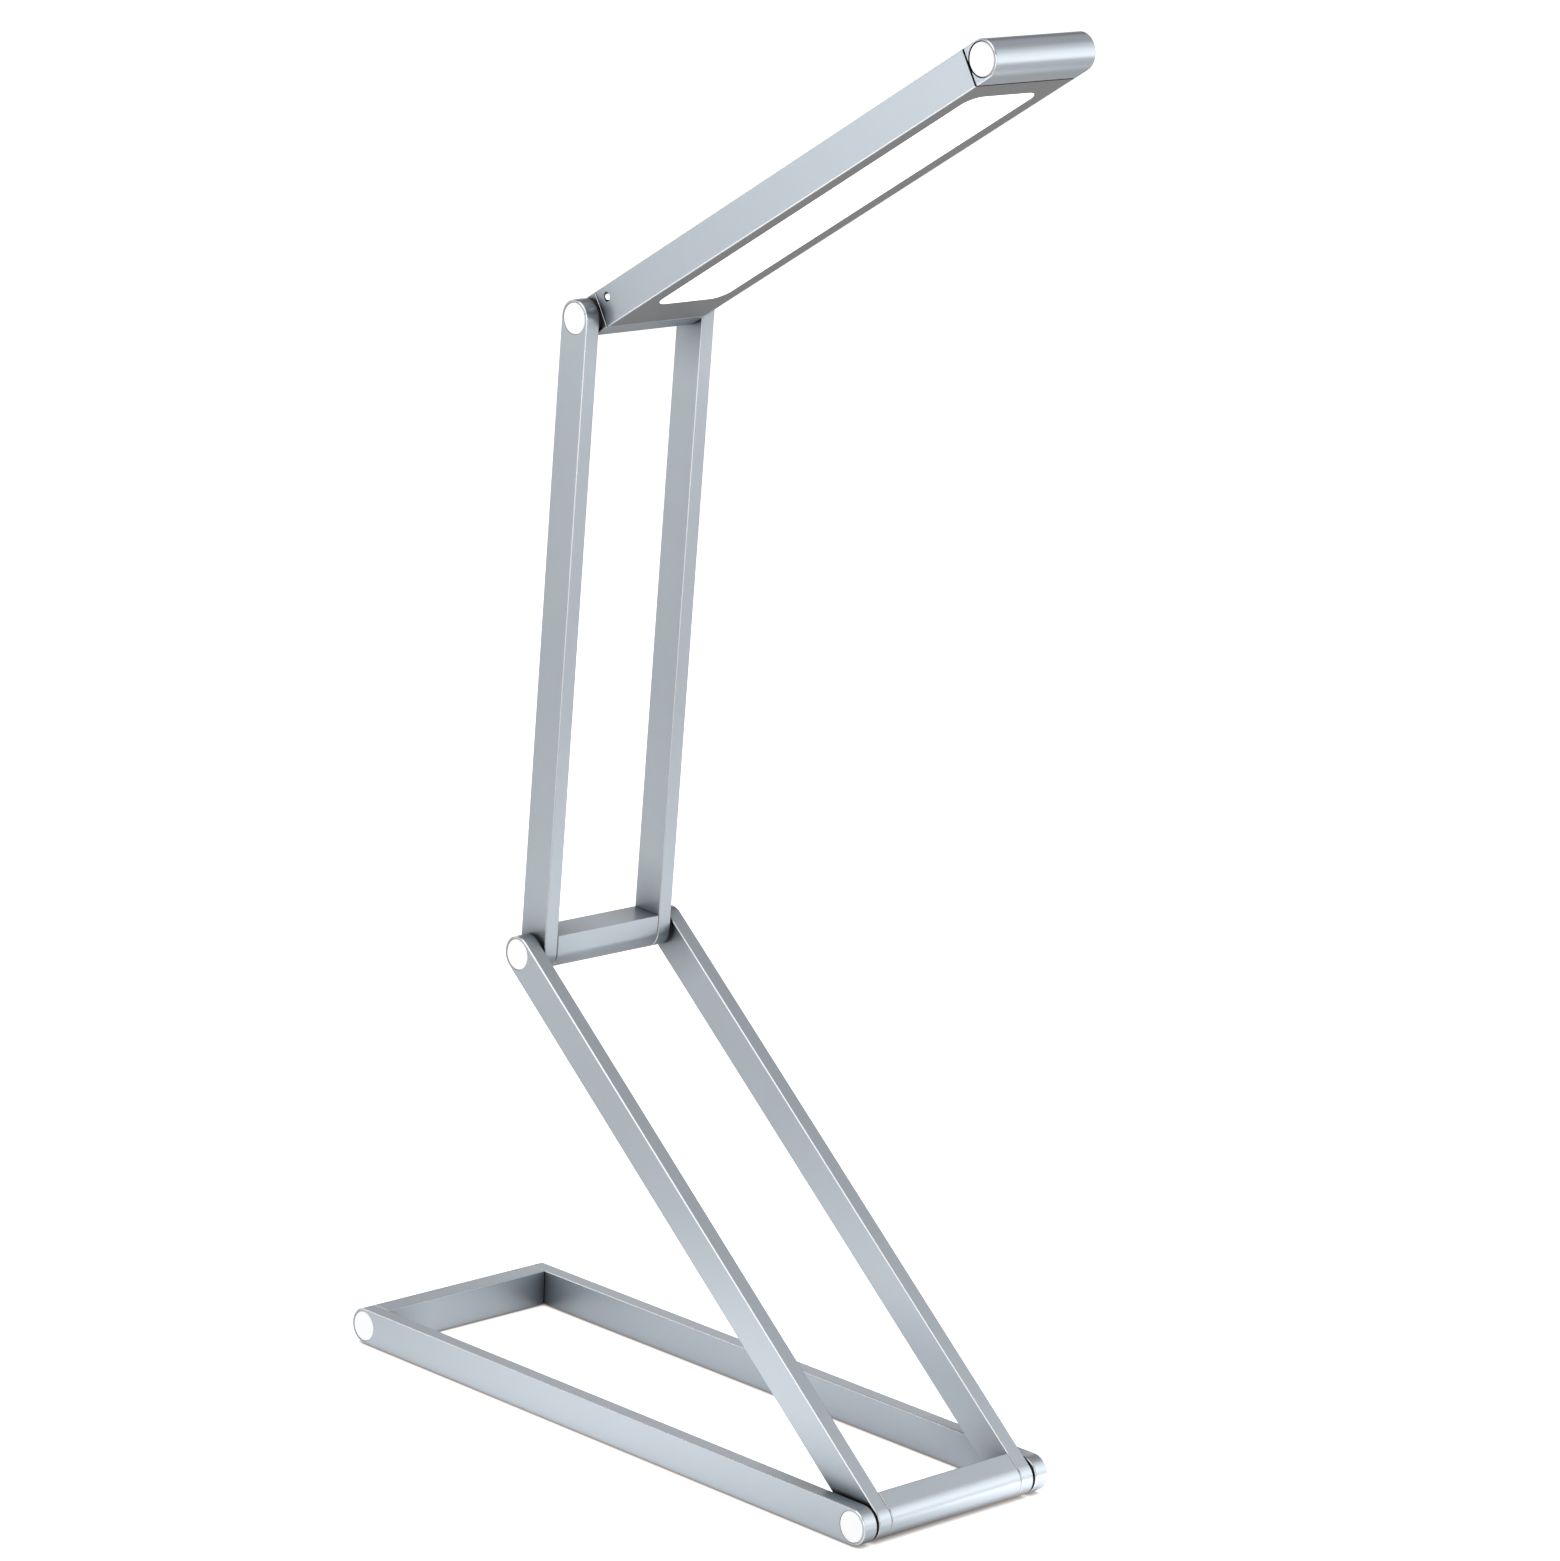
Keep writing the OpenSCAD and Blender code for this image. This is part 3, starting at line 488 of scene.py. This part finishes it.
def moulded_material(name, **own):
    """A plastic, rubber or plated finish of that name; own is what differs from the table."""
    finish = {**PLAIN_FINISH, **FINISHES[name], **own}
    groups = shared_groups()
    material, tree, shader = new_material(name)
    link = tree.links.new
    face = use_group(tree, groups["grain"], -900, 200, Colour=(*finish["colour"], 1),
                     Grain_size=finish["grain"], Mottle=finish["mottle"], Roughness=finish["roughness"],
                     Roughness_spread=0.15)
    colour = face.outputs["Colour"]
    # Painted corner shade, where the finish has a reach
    if finish["reach"]:
        corner = use_group(tree, groups["corner"], -300, 120, Reach=finish["reach"])
        link(colour, corner.inputs["Colour"])
        colour = corner.outputs["Colour"]
    link(colour, shader.inputs["Base Color"])
    link(face.outputs["Roughness"], shader.inputs["Roughness"])
    shader.inputs["Metallic"].default_value = finish["metallic"]
    shader.inputs["Coat Weight"].default_value = finish["coat"]
    add_bump(tree, shader, face.outputs["Height"], finish["depth"])
    return material


def give_light(material, colour, strength):
    shader = material.node_tree.nodes["Principled BSDF"]
    shader.inputs["Emission Color"].default_value = (*colour, 1)
    shader.inputs["Emission Strength"].default_value = strength


# Parts that repeat

def new_geometry_tree(name, inputs):
    tree = bpy.data.node_groups.new(name, "GeometryNodeTree")
    for socket, kind in inputs.items():
        tree.interface.new_socket(name=socket, in_out="INPUT", socket_type=kind)
    tree.interface.new_socket(name="Geometry", in_out="OUTPUT", socket_type="NodeSocketGeometry")
    return tree, place_node(tree, "NodeGroupInput", -900, 0), place_node(tree, "NodeGroupOutput", 900, 0)


def rows_tree():
    """Repeats what it is given in rows: Count along Step, and Rows of that along Row step."""
    if "Rows" in bpy.data.node_groups:
        return bpy.data.node_groups["Rows"]
    tree, given, out = new_geometry_tree("Rows", {
        "Geometry": "NodeSocketGeometry", "Count": "NodeSocketInt", "Step": "NodeSocketVector",
        "Rows": "NodeSocketInt", "Row step": "NodeSocketVector", "Material": "NodeSocketMaterial"})
    link = tree.links.new
    line = place_node(tree, "GeometryNodeMeshLine", -600, 100)
    lines = place_node(tree, "GeometryNodeMeshLine", -600, -200)
    link(given.outputs["Count"], line.inputs["Count"])
    link(given.outputs["Step"], line.inputs["Offset"])
    link(given.outputs["Rows"], lines.inputs["Count"])
    link(given.outputs["Row step"], lines.inputs["Offset"])
    field = place_node(tree, "GeometryNodeInstanceOnPoints", -300, 0)
    link(lines.outputs["Mesh"], field.inputs["Points"])
    link(line.outputs["Mesh"], field.inputs["Instance"])
    places = place_node(tree, "GeometryNodeRealizeInstances", -100, 0)
    link(field.outputs["Instances"], places.inputs["Geometry"])
    copies = place_node(tree, "GeometryNodeInstanceOnPoints", 150, 100)
    link(places.outputs["Geometry"], copies.inputs["Points"])
    link(given.outputs["Geometry"], copies.inputs["Instance"])
    real = place_node(tree, "GeometryNodeRealizeInstances", 400, 100)
    link(copies.outputs["Instances"], real.inputs["Geometry"])
    finish = place_node(tree, "GeometryNodeSetMaterial", 650, 100)
    link(real.outputs["Geometry"], finish.inputs["Geometry"])
    link(given.outputs["Material"], finish.inputs["Material"])
    link(finish.outputs["Geometry"], out.inputs["Geometry"])
    return tree


def ribbed_pads_tree():
    """Puts grip ribs under the pad that it is given, and repeats that pad at the base's four places."""
    tree, given, out = new_geometry_tree("Ribbed pads", {
        "Geometry": "NodeSocketGeometry", "Ribs": "NodeSocketInt", "Rib pitch": "NodeSocketVector",
        "First rib": "NodeSocketVector", "Rib radius": "NodeSocketFloat", "Rib length": "NodeSocketFloat",
        "Pad step": "NodeSocketVector", "Pad row step": "NodeSocketVector", "Material": "NodeSocketMaterial"})
    link = tree.links.new
    rib = place_node(tree, "GeometryNodeMeshCylinder", -700, 200)
    rib.inputs["Vertices"].default_value = 12
    link(given.outputs["Rib radius"], rib.inputs["Radius"])
    link(given.outputs["Rib length"], rib.inputs["Depth"])
    laid = place_node(tree, "GeometryNodeTransform", -500, 200)
    laid.inputs["Rotation"].default_value = (math.pi / 2, 0, 0)
    link(given.outputs["First rib"], laid.inputs["Translation"])
    link(rib.outputs["Mesh"], laid.inputs["Geometry"])
    ribs = place_node(tree, "GeometryNodeGroup", -300, 200, node_tree=rows_tree())
    ribs.inputs["Rows"].default_value = 1
    link(laid.outputs["Geometry"], ribs.inputs["Geometry"])
    link(given.outputs["Ribs"], ribs.inputs["Count"])
    link(given.outputs["Rib pitch"], ribs.inputs["Step"])
    link(given.outputs["Material"], ribs.inputs["Material"])
    pad = place_node(tree, "GeometryNodeJoinGeometry", 0, 0)
    link(given.outputs["Geometry"], pad.inputs["Geometry"])
    link(ribs.outputs["Geometry"], pad.inputs["Geometry"])
    pads = place_node(tree, "GeometryNodeGroup", 200, 0, node_tree=rows_tree())
    for each_way in ("Count", "Rows"):
        pads.inputs[each_way].default_value = 2
    link(pad.outputs["Geometry"], pads.inputs["Geometry"])
    link(given.outputs["Pad step"], pads.inputs["Step"])
    link(given.outputs["Pad row step"], pads.inputs["Row step"])
    link(given.outputs["Material"], pads.inputs["Material"])
    real = place_node(tree, "GeometryNodeRealizeInstances", 450, 0)
    finish = place_node(tree, "GeometryNodeSetMaterial", 650, 0)
    link(pads.outputs["Geometry"], real.inputs["Geometry"])
    link(real.outputs["Geometry"], finish.inputs["Geometry"])
    link(given.outputs["Material"], finish.inputs["Material"])
    link(finish.outputs["Geometry"], out.inputs["Geometry"])
    return tree


def grown_piece(name, start, tree, body, slot, place=None, replaces=None, **values):
    """A piece that a geometry tree makes from the mesh start, as a plain mesh in its place."""
    piece = bpy.data.objects.new(name, start)
    bpy.context.scene.collection.objects.link(piece)
    modifier = piece.modifiers.new("Shape", "NODES")
    modifier.node_group = tree
    for socket in tree.interface.items_tree:
        value = values.get(socket.name.replace(" ", "_"))
        if socket.in_out == "INPUT" and value is not None:
            modifier[socket.identifier] = value
    made = bpy.data.meshes.new_from_object(piece.evaluated_get(bpy.context.evaluated_depsgraph_get()))
    piece.modifiers.remove(modifier)
    if place:
        made.transform(place)
    made.name = name
    piece.data = made
    bpy.data.meshes.remove(start)
    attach(piece, body)
    if replaces:
        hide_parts(replaces)
    return piece


def mesh_from(build, name):
    mesh = bpy.data.meshes.new(name)
    bmesh.ops.recalc_face_normals(build, faces=build.faces)
    build.to_mesh(mesh)
    build.free()
    return mesh


def block_mesh(name, size, place, bevel=0.0):
    """A block of that size round place, with its edges bevelled."""
    build = bmesh.new()
    bmesh.ops.create_cube(build, size=1.0, matrix=Matrix.Translation(place) @ Matrix.Diagonal((*size, 1.0)))
    if bevel:
        bmesh.ops.bevel(build, geom=build.edges[:], offset=bevel, segments=2, affect="EDGES", profile=0.5)
    return mesh_from(build, name)


def pad_mesh(length, width, bottom, top, place):
    """A foot pad with round ends and a small bevel round its underside."""
    build = bmesh.new()
    steps = 16
    bevel = (top - bottom) / 4
    rings = []
    for inset, z in ((bevel, bottom), (0.0, bottom + bevel), (0.0, top)):
        ring = []
        for end, first in ((1, -90), (-1, 90)):
            for i in range(steps + 1):
                turn = math.radians(first + 180 * i / steps)
                r = width / 2 - inset
                ring.append(build.verts.new((place[0] + end * (length - width) / 2 + r * math.cos(turn),
                                             place[1] + r * math.sin(turn), z)))
        rings.append(ring)
    for low, high in zip(rings, rings[1:]):
        for i in range(len(low)):
            j = (i + 1) % len(low)
            build.faces.new((low[i], low[j], high[j], high[i]))
    build.faces.new(rings[0][::-1])
    build.faces.new(rings[-1])
    return mesh_from(build, "Pad")


def led_mesh(size, place, cup=0.72, depth=0.6, taper=0.85):
    """An LED's package: a block whose lit face is a dished cup."""
    build = bmesh.new()
    _, width, height = size
    centre = Vector(place) - Vector((0, 0, height / 2))
    bmesh.ops.create_cube(build, size=1.0, matrix=Matrix.Translation(centre) @ Matrix.Diagonal((*size, 1.0)))
    face = min(build.faces, key=lambda f: f.calc_center_median().z)
    bmesh.ops.inset_region(build, faces=[face], thickness=width * (1 - cup) / 2)
    sunk = bmesh.ops.extrude_discrete_faces(build, faces=[face])["faces"][0]
    middle = sunk.calc_center_median()
    for vert in sunk.verts:
        vert.co = middle + (vert.co - middle) * taper + Vector((0, 0, height * depth))
    return mesh_from(build, "Package")


def finish_nodes(names, material):
    for name in names:
        mesh = frame["nodes"][name].data
        mesh.materials.clear()
        mesh.materials.append(material)


def shared_groups():
    """The node groups that more than one material uses, built on the first call."""
    trees = bpy.data.node_groups
    if "Surface grain" not in trees:
        grain_group()
        edge_highlight_group()
        painted_corner_shade_group()
        past_plane_group()
        bore_group()
    return {
        "bore": trees["Inside a bore"],
        "grain": trees["Surface grain"],
        "edge": trees["Painted edge highlight"],
        "corner": trees["Painted corner shade"],
        "plane": trees["Past a plane"],
    }


# Operators

class LAMP_OT_frames(Operator):
    """Give the frames and the head their satin aluminium"""
    bl_idname = "lamp.frames"
    bl_label = "Finish the frames"

    def execute(self, context):
        metal = context.scene.lamp_metal
        finish_nodes(ALUMINIUM_NODES, aluminium_material(metal))
        # Painted shade: the tongues inside the shell and the flat faces round them are painted black, so the
        # seams read dark; on the tip the black reaches a little onto the side as a painted shadow line, and
        # fills the button's bore and a thin ring round it.
        past_block = HEAD_HINGE + (BLOCK_END - SKIN) * ALONG_HEAD, ALONG_HEAD
        block = aluminium_material(metal, "Hinge block", past_block, reach=WIDE_CORNER_SHADE)
        finish_nodes(("head_hinge_block",), block)
        past_tip = HEAD_HINGE + (TIP_START + SEAM_SHADOW) * ALONG_HEAD, -ALONG_HEAD
        low, high = (Vector(corner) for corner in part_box("power_button"))
        bore = (low + high) / 2, (high.z - low.z) / 2 + SEAM_SHADOW
        finish_nodes(("head_tip",), aluminium_material(metal, "Tip", past_tip, bore))
        return {"FINISHED"}


class LAMP_OT_caps(Operator):
    """Give the caps and the power button their white plastic, with a painted glow"""
    bl_idname = "lamp.caps"
    bl_label = "Finish the caps and the button"

    def execute(self, context):
        trim = context.scene.lamp_trim
        white = moulded_material("White caps", colour=trim.cap_colour)
        # Painted light: the caps glow though they are no lamp, so that they render whiter
        give_light(white, (1, 1, 1), trim.cap_painted_glow)
        finish_nodes(CAP_NODES, white)
        return {"FINISHED"}


class LAMP_OT_hinges(Operator):
    """Give the screws, springs, dowels and bushes their steel and nylon"""
    bl_idname = "lamp.hinges"
    bl_label = "Finish the hinges"

    def execute(self, context):
        trim = context.scene.lamp_trim
        finish_nodes(STEEL_NODES, moulded_material("Plated steel", colour=trim.steel_colour))
        finish_nodes(NYLON_NODES, moulded_material("Black nylon", colour=trim.nylon_colour))
        finish_nodes(("base_hinge_bushes",), moulded_material("Grey nylon", colour=trim.bush_colour))
        return {"FINISHED"}


class LAMP_OT_foot_pads(Operator):
    """Make the four ribbed foot pads"""
    bl_idname = "lamp.foot_pads"
    bl_label = "Make the foot pads"

    def execute(self, context):
        trim, parts = context.scene.lamp_trim, context.scene.lamp_parts
        rubber = moulded_material("Silicone rubber", colour=trim.pad_colour)
        finish_nodes(("foot_pads",), rubber)
        low, high = (Vector(corner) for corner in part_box("foot_pads"))
        length = parts.pad_length
        width = parts.pad_width
        radius = parts.rib_radius
        first = low + Vector((length / 2, width / 2, 0))
        step = high - low - Vector((length, width, 0))
        run = (parts.rib_count - 1) * parts.rib_pitch
        grown_piece("ribbed_pads", pad_mesh(length, width, low.z + radius, high.z, first), ribbed_pads_tree(),
                    "base", "silicone", replaces="foot_pads", Ribs=parts.rib_count,
                    Rib_pitch=(parts.rib_pitch, 0, 0), First_rib=(first.x - run / 2, first.y, low.z + radius),
                    Rib_radius=radius, Rib_length=width - 2 * radius, Pad_step=(step.x, 0, 0),
                    Pad_row_step=(0, step.y, 0), Material=rubber)
        return {"FINISHED"}


class LAMP_OT_light(Operator):
    """Finish the bezel, the lit diffuser and what lies behind it"""
    bl_idname = "lamp.light"
    bl_label = "Finish the light"

    def execute(self, context):
        trim, parts = context.scene.lamp_trim, context.scene.lamp_parts
        opal = moulded_material("Lit opal plastic")
        give_light(opal, trim.light_colour, trim.light_strength)
        white = moulded_material("White plastic")
        phosphor = moulded_material("Phosphor")
        rows = dict(Count=parts.led_count, Step=(parts.led_pitch, 0, 0), Rows=2,
                    Row_step=(0, -2 * parts.led_place[1], 0))
        grown_piece("led_packages", led_mesh(parts.led_size, parts.led_place), rows_tree(), "head",
                    "white_plastic", HEAD_PLACE, replaces="leds", Material=white, **rows)
        fill = Vector(parts.led_size) * Vector(PHOSPHOR_SHARE)
        fill_middle = Vector(parts.led_place) - Vector((0, 0, parts.led_size[2] * PHOSPHOR_DEPTH))
        grown_piece("led_phosphor", block_mesh("Fill", fill, fill_middle), rows_tree(), "head", "led",
                    HEAD_PLACE, Material=phosphor, **rows)
        finish_nodes(("bezel",), moulded_material("Bezel paint", colour=trim.bezel_colour))
        finish_nodes(("diffuser", "indicator_lens"), opal)
        finish_nodes(("reflector_frame", "led_board"), white)
        finish_nodes(("leds",), phosphor)
        return {"FINISHED"}


class LAMP_OT_electronics(Operator):
    """Finish the battery and the boards"""
    bl_idname = "lamp.electronics"
    bl_label = "Finish the electronics"

    def execute(self, context):
        parts = context.scene.lamp_parts
        pitch = parts.contact_pitch
        first_contact = Vector(parts.contact_place) - Vector(((CONTACT_COUNT - 1) / 2 * pitch, 0, 0))
        contact = block_mesh("Contact", parts.contact_size, first_contact, CONTACT_BEVEL)
        grown_piece("socket_contacts", contact, rows_tree(), "head", "steel", HEAD_PLACE, Count=CONTACT_COUNT,
                    Step=(pitch, 0, 0), Rows=1, Row_step=(0, 0, 0),
                    Material=moulded_material("Gilded contacts"))
        size = Vector(parts.chip_size)
        chip = block_mesh("Chip", size, Vector(parts.chip_place) + Vector((0, 0, size.z / 2)), CHIP_BEVEL)
        along, across = parts.chip_counts
        step_along, step_across = parts.chip_step
        grown_piece("board_chips", chip, rows_tree(), "head", "green_board", HEAD_PLACE, Count=along,
                    Step=(step_along, 0, 0), Rows=across, Row_step=(0, step_across, 0),
                    Material=moulded_material("Chip ceramic"))
        finish_nodes(("control_board", "switch_board"), moulded_material("Solder mask"))
        finish_nodes(("battery_cell",), moulded_material("Pouch foil"))
        finish_nodes(("battery_foam",), moulded_material("Foam"))
        return {"FINISHED"}


def set_camera(stage):
    data = bpy.data.cameras.new("Camera")
    data.sensor_fit = "HORIZONTAL"
    data.sensor_width = SENSOR_WIDTH
    data.lens = stage.camera_lens
    data.clip_end = 50.0
    camera = bpy.data.objects.new("Camera", data)
    bpy.context.scene.collection.objects.link(camera)
    heading, pitch = stage.camera_heading, stage.camera_pitch
    view = Vector((math.cos(heading) * math.cos(pitch), math.sin(heading) * math.cos(pitch), math.sin(pitch)))
    camera.rotation_mode = "QUATERNION"
    camera.rotation_quaternion = view.to_track_quat("-Z", "Y") @ Quaternion((0, 0, 1), stage.camera_roll)
    camera.location = stage.camera_place
    bpy.context.scene.camera = camera


def add_softbox(name, place, aim, width, height, radiance):
    """A lit panel. It doesn't show to the camera, which sees the white background there."""
    data = bpy.data.lights.new(name, "AREA")
    data.shape = "RECTANGLE"
    data.size = width
    data.size_y = height
    data.energy = radiance * math.pi * width * height
    softbox = bpy.data.objects.new(name, data)
    bpy.context.scene.collection.objects.link(softbox)
    softbox.visible_camera = False
    softbox.location = place
    softbox.rotation_mode = "QUATERNION"
    softbox.rotation_quaternion = (Vector(aim) - Vector(place)).to_track_quat("-Z", "Y")


def floor_material(stage):
    material, tree, shader = new_material("White floor")
    link = tree.links.new
    shader.inputs["Roughness"].default_value = 0.9
    shader.inputs["Specular IOR Level"].default_value = 0.0
    # Painted contact shadow: the floor's colour and glow darken towards the contact colour by occlusion under
    # the lamp, reaching farther where the metal mirrors the floor
    covered = place_node(tree, "ShaderNodeAmbientOcclusion", -600, -100)
    seen = place_node(tree, "ShaderNodeLightPath", -1100, -100)
    reach = place_node(tree, "ShaderNodeMath", -850, -100, operation="MULTIPLY_ADD")
    reach.inputs[1].default_value = stage.mirror_reach - stage.contact_reach
    reach.inputs[2].default_value = stage.contact_reach
    link(seen.outputs["Is Glossy Ray"], reach.inputs[0])
    link(reach.outputs[0], covered.inputs["Distance"])
    paint = place_node(tree, "ShaderNodeMix", -300, 150, data_type="RGBA")
    paint.inputs["A"].default_value = (*stage.contact_colour, 1)
    paint.inputs["B"].default_value = (*stage.floor_colour, 1)
    link(covered.outputs["AO"], paint.inputs["Factor"])
    link(paint.outputs["Result"], shader.inputs["Base Color"])
    tone = place_node(tree, "ShaderNodeMix", -300, -100, data_type="RGBA")
    tone.inputs["A"].default_value = (*stage.contact_colour, 1)
    tone.inputs["B"].default_value = (*stage.floor_glow, 1)
    link(covered.outputs["AO"], tone.inputs["Factor"])
    glow = place_node(tree, "ShaderNodeEmission", 0, -200)
    link(tone.outputs["Result"], glow.inputs["Color"])
    where = place_node(tree, "ShaderNodeTexCoord", -1500, -500)
    # Painted reflections: spots of glow that only glossy rays see, so the metal mirrors bright patches of
    # floor
    patches = []
    for i, (place, radius, strength) in enumerate(FLOOR_REFLECTION_SPOTS.values()):
        y = -500 - 250 * i
        away = place_node(tree, "ShaderNodeVectorMath", -1250, y, operation="DISTANCE")
        away.inputs[1].default_value = place
        link(where.outputs["Object"], away.inputs[0])
        spot = place_node(tree, "ShaderNodeMapRange", -1000, y, interpolation_type="SMOOTHSTEP")
        spot.inputs["From Max"].default_value = radius
        spot.inputs["To Min"].default_value = strength
        spot.inputs["To Max"].default_value = 0.0
        link(away.outputs["Value"], spot.inputs["Value"])
        patches.append(spot.outputs["Result"])
    total = patches[0]
    for i, patch in enumerate(patches[1:]):
        added = place_node(tree, "ShaderNodeMath", -750, -500 - 250 * i, operation="ADD")
        link(total, added.inputs[0])
        link(patch, added.inputs[1])
        total = added.outputs[0]
    strength = place_node(tree, "ShaderNodeMath", -250, -500, operation="MULTIPLY_ADD")
    link(total, strength.inputs[0])
    link(seen.outputs["Is Glossy Ray"], strength.inputs[1])
    link(seen.outputs["Is Camera Ray"], strength.inputs[2])
    link(strength.outputs[0], glow.inputs["Strength"])
    both = place_node(tree, "ShaderNodeAddShader", 300, 0)
    link(shader.outputs[0], both.inputs[0])
    link(glow.outputs[0], both.inputs[1])
    out = tree.nodes["Material Output"]
    out.location = (500, 0)
    link(both.outputs[0], out.inputs["Surface"])
    return material


def set_world(stage):
    world = bpy.data.worlds.new("Studio")
    bpy.context.scene.world = world
    world.use_nodes = True
    tree = world.node_tree
    tree.nodes.clear()
    link = tree.links.new
    out = place_node(tree, "ShaderNodeOutputWorld", 400, 0)
    light = place_node(tree, "ShaderNodeBackground", 0, 0)
    light.inputs["Color"].default_value = (*stage.sky_colour, 1)
    white = place_node(tree, "ShaderNodeBackground", 0, -200)
    white.inputs["Color"].default_value = (1, 1, 1, 1)
    seen = place_node(tree, "ShaderNodeLightPath", -300, 200)
    which = place_node(tree, "ShaderNodeMixShader", 200, 0)
    link(seen.outputs["Is Camera Ray"], which.inputs["Fac"])
    link(light.outputs[0], which.inputs[1])
    link(white.outputs[0], which.inputs[2])
    link(which.outputs[0], out.inputs["Surface"])


class LAMP_OT_stage(Operator):
    """Make the floor, the studio lamps and the camera"""
    bl_idname = "lamp.stage"
    bl_label = "Set the stage"

    def execute(self, context):
        stage = context.scene.lamp_stage
        mesh = bpy.data.meshes.new("Floor")
        build = bmesh.new()
        bmesh.ops.create_grid(build, x_segments=2, y_segments=2, size=stage.floor_size / 2)
        build.to_mesh(mesh)
        build.free()
        mesh.materials.append(floor_material(stage))
        floor = bpy.data.objects.new("Floor", mesh)
        context.scene.collection.objects.link(floor)
        floor.visible_shadow = False  # so that the corner shade of the metal counts only the lamp itself
        set_world(stage)
        for name, settings in SOFTBOXES.items():
            add_softbox(name, *settings)
        set_camera(stage)
        context.scene.view_settings.view_transform = "Standard"
        return {"FINISHED"}


OPERATORS = (
    LAMP_OT_frames, LAMP_OT_caps, LAMP_OT_hinges, LAMP_OT_foot_pads,
    LAMP_OT_light, LAMP_OT_electronics, LAMP_OT_stage,
)


class LAMP_PT_panel(Panel):
    """The lamp's steps and settings"""
    bl_idname = "LAMP_PT_panel"
    bl_label = "Folding table lamp"
    bl_space_type = "VIEW_3D"
    bl_region_type = "UI"
    bl_category = "Lamp"

    def draw(self, context):
        layout = self.layout
        for settings in GROUPS:
            group = getattr(context.scene, settings)
            box = layout.box()
            for name in group.__annotations__:
                box.prop(group, name)
        for operator in OPERATORS:
            layout.operator(operator.bl_idname)


GROUPS = {"lamp_metal": LampMetal, "lamp_trim": LampTrim, "lamp_parts": LampParts, "lamp_stage": LampStage}


def register():
    for name, group in GROUPS.items():
        bpy.utils.register_class(group)
        setattr(bpy.types.Scene, name, PointerProperty(type=group))
    for made in (*OPERATORS, LAMP_PT_panel):
        bpy.utils.register_class(made)


def unregister():
    for made in reversed((*OPERATORS, LAMP_PT_panel)):
        bpy.utils.unregister_class(made)
    for name, group in GROUPS.items():
        delattr(bpy.types.Scene, name)
        bpy.utils.unregister_class(group)


def main():
    register()
    bpy.ops.lamp.frames()
    bpy.ops.lamp.caps()
    bpy.ops.lamp.hinges()
    bpy.ops.lamp.foot_pads()
    bpy.ops.lamp.light()
    bpy.ops.lamp.electronics()
    bpy.ops.lamp.stage()


if __name__ == "__main__":
    main()
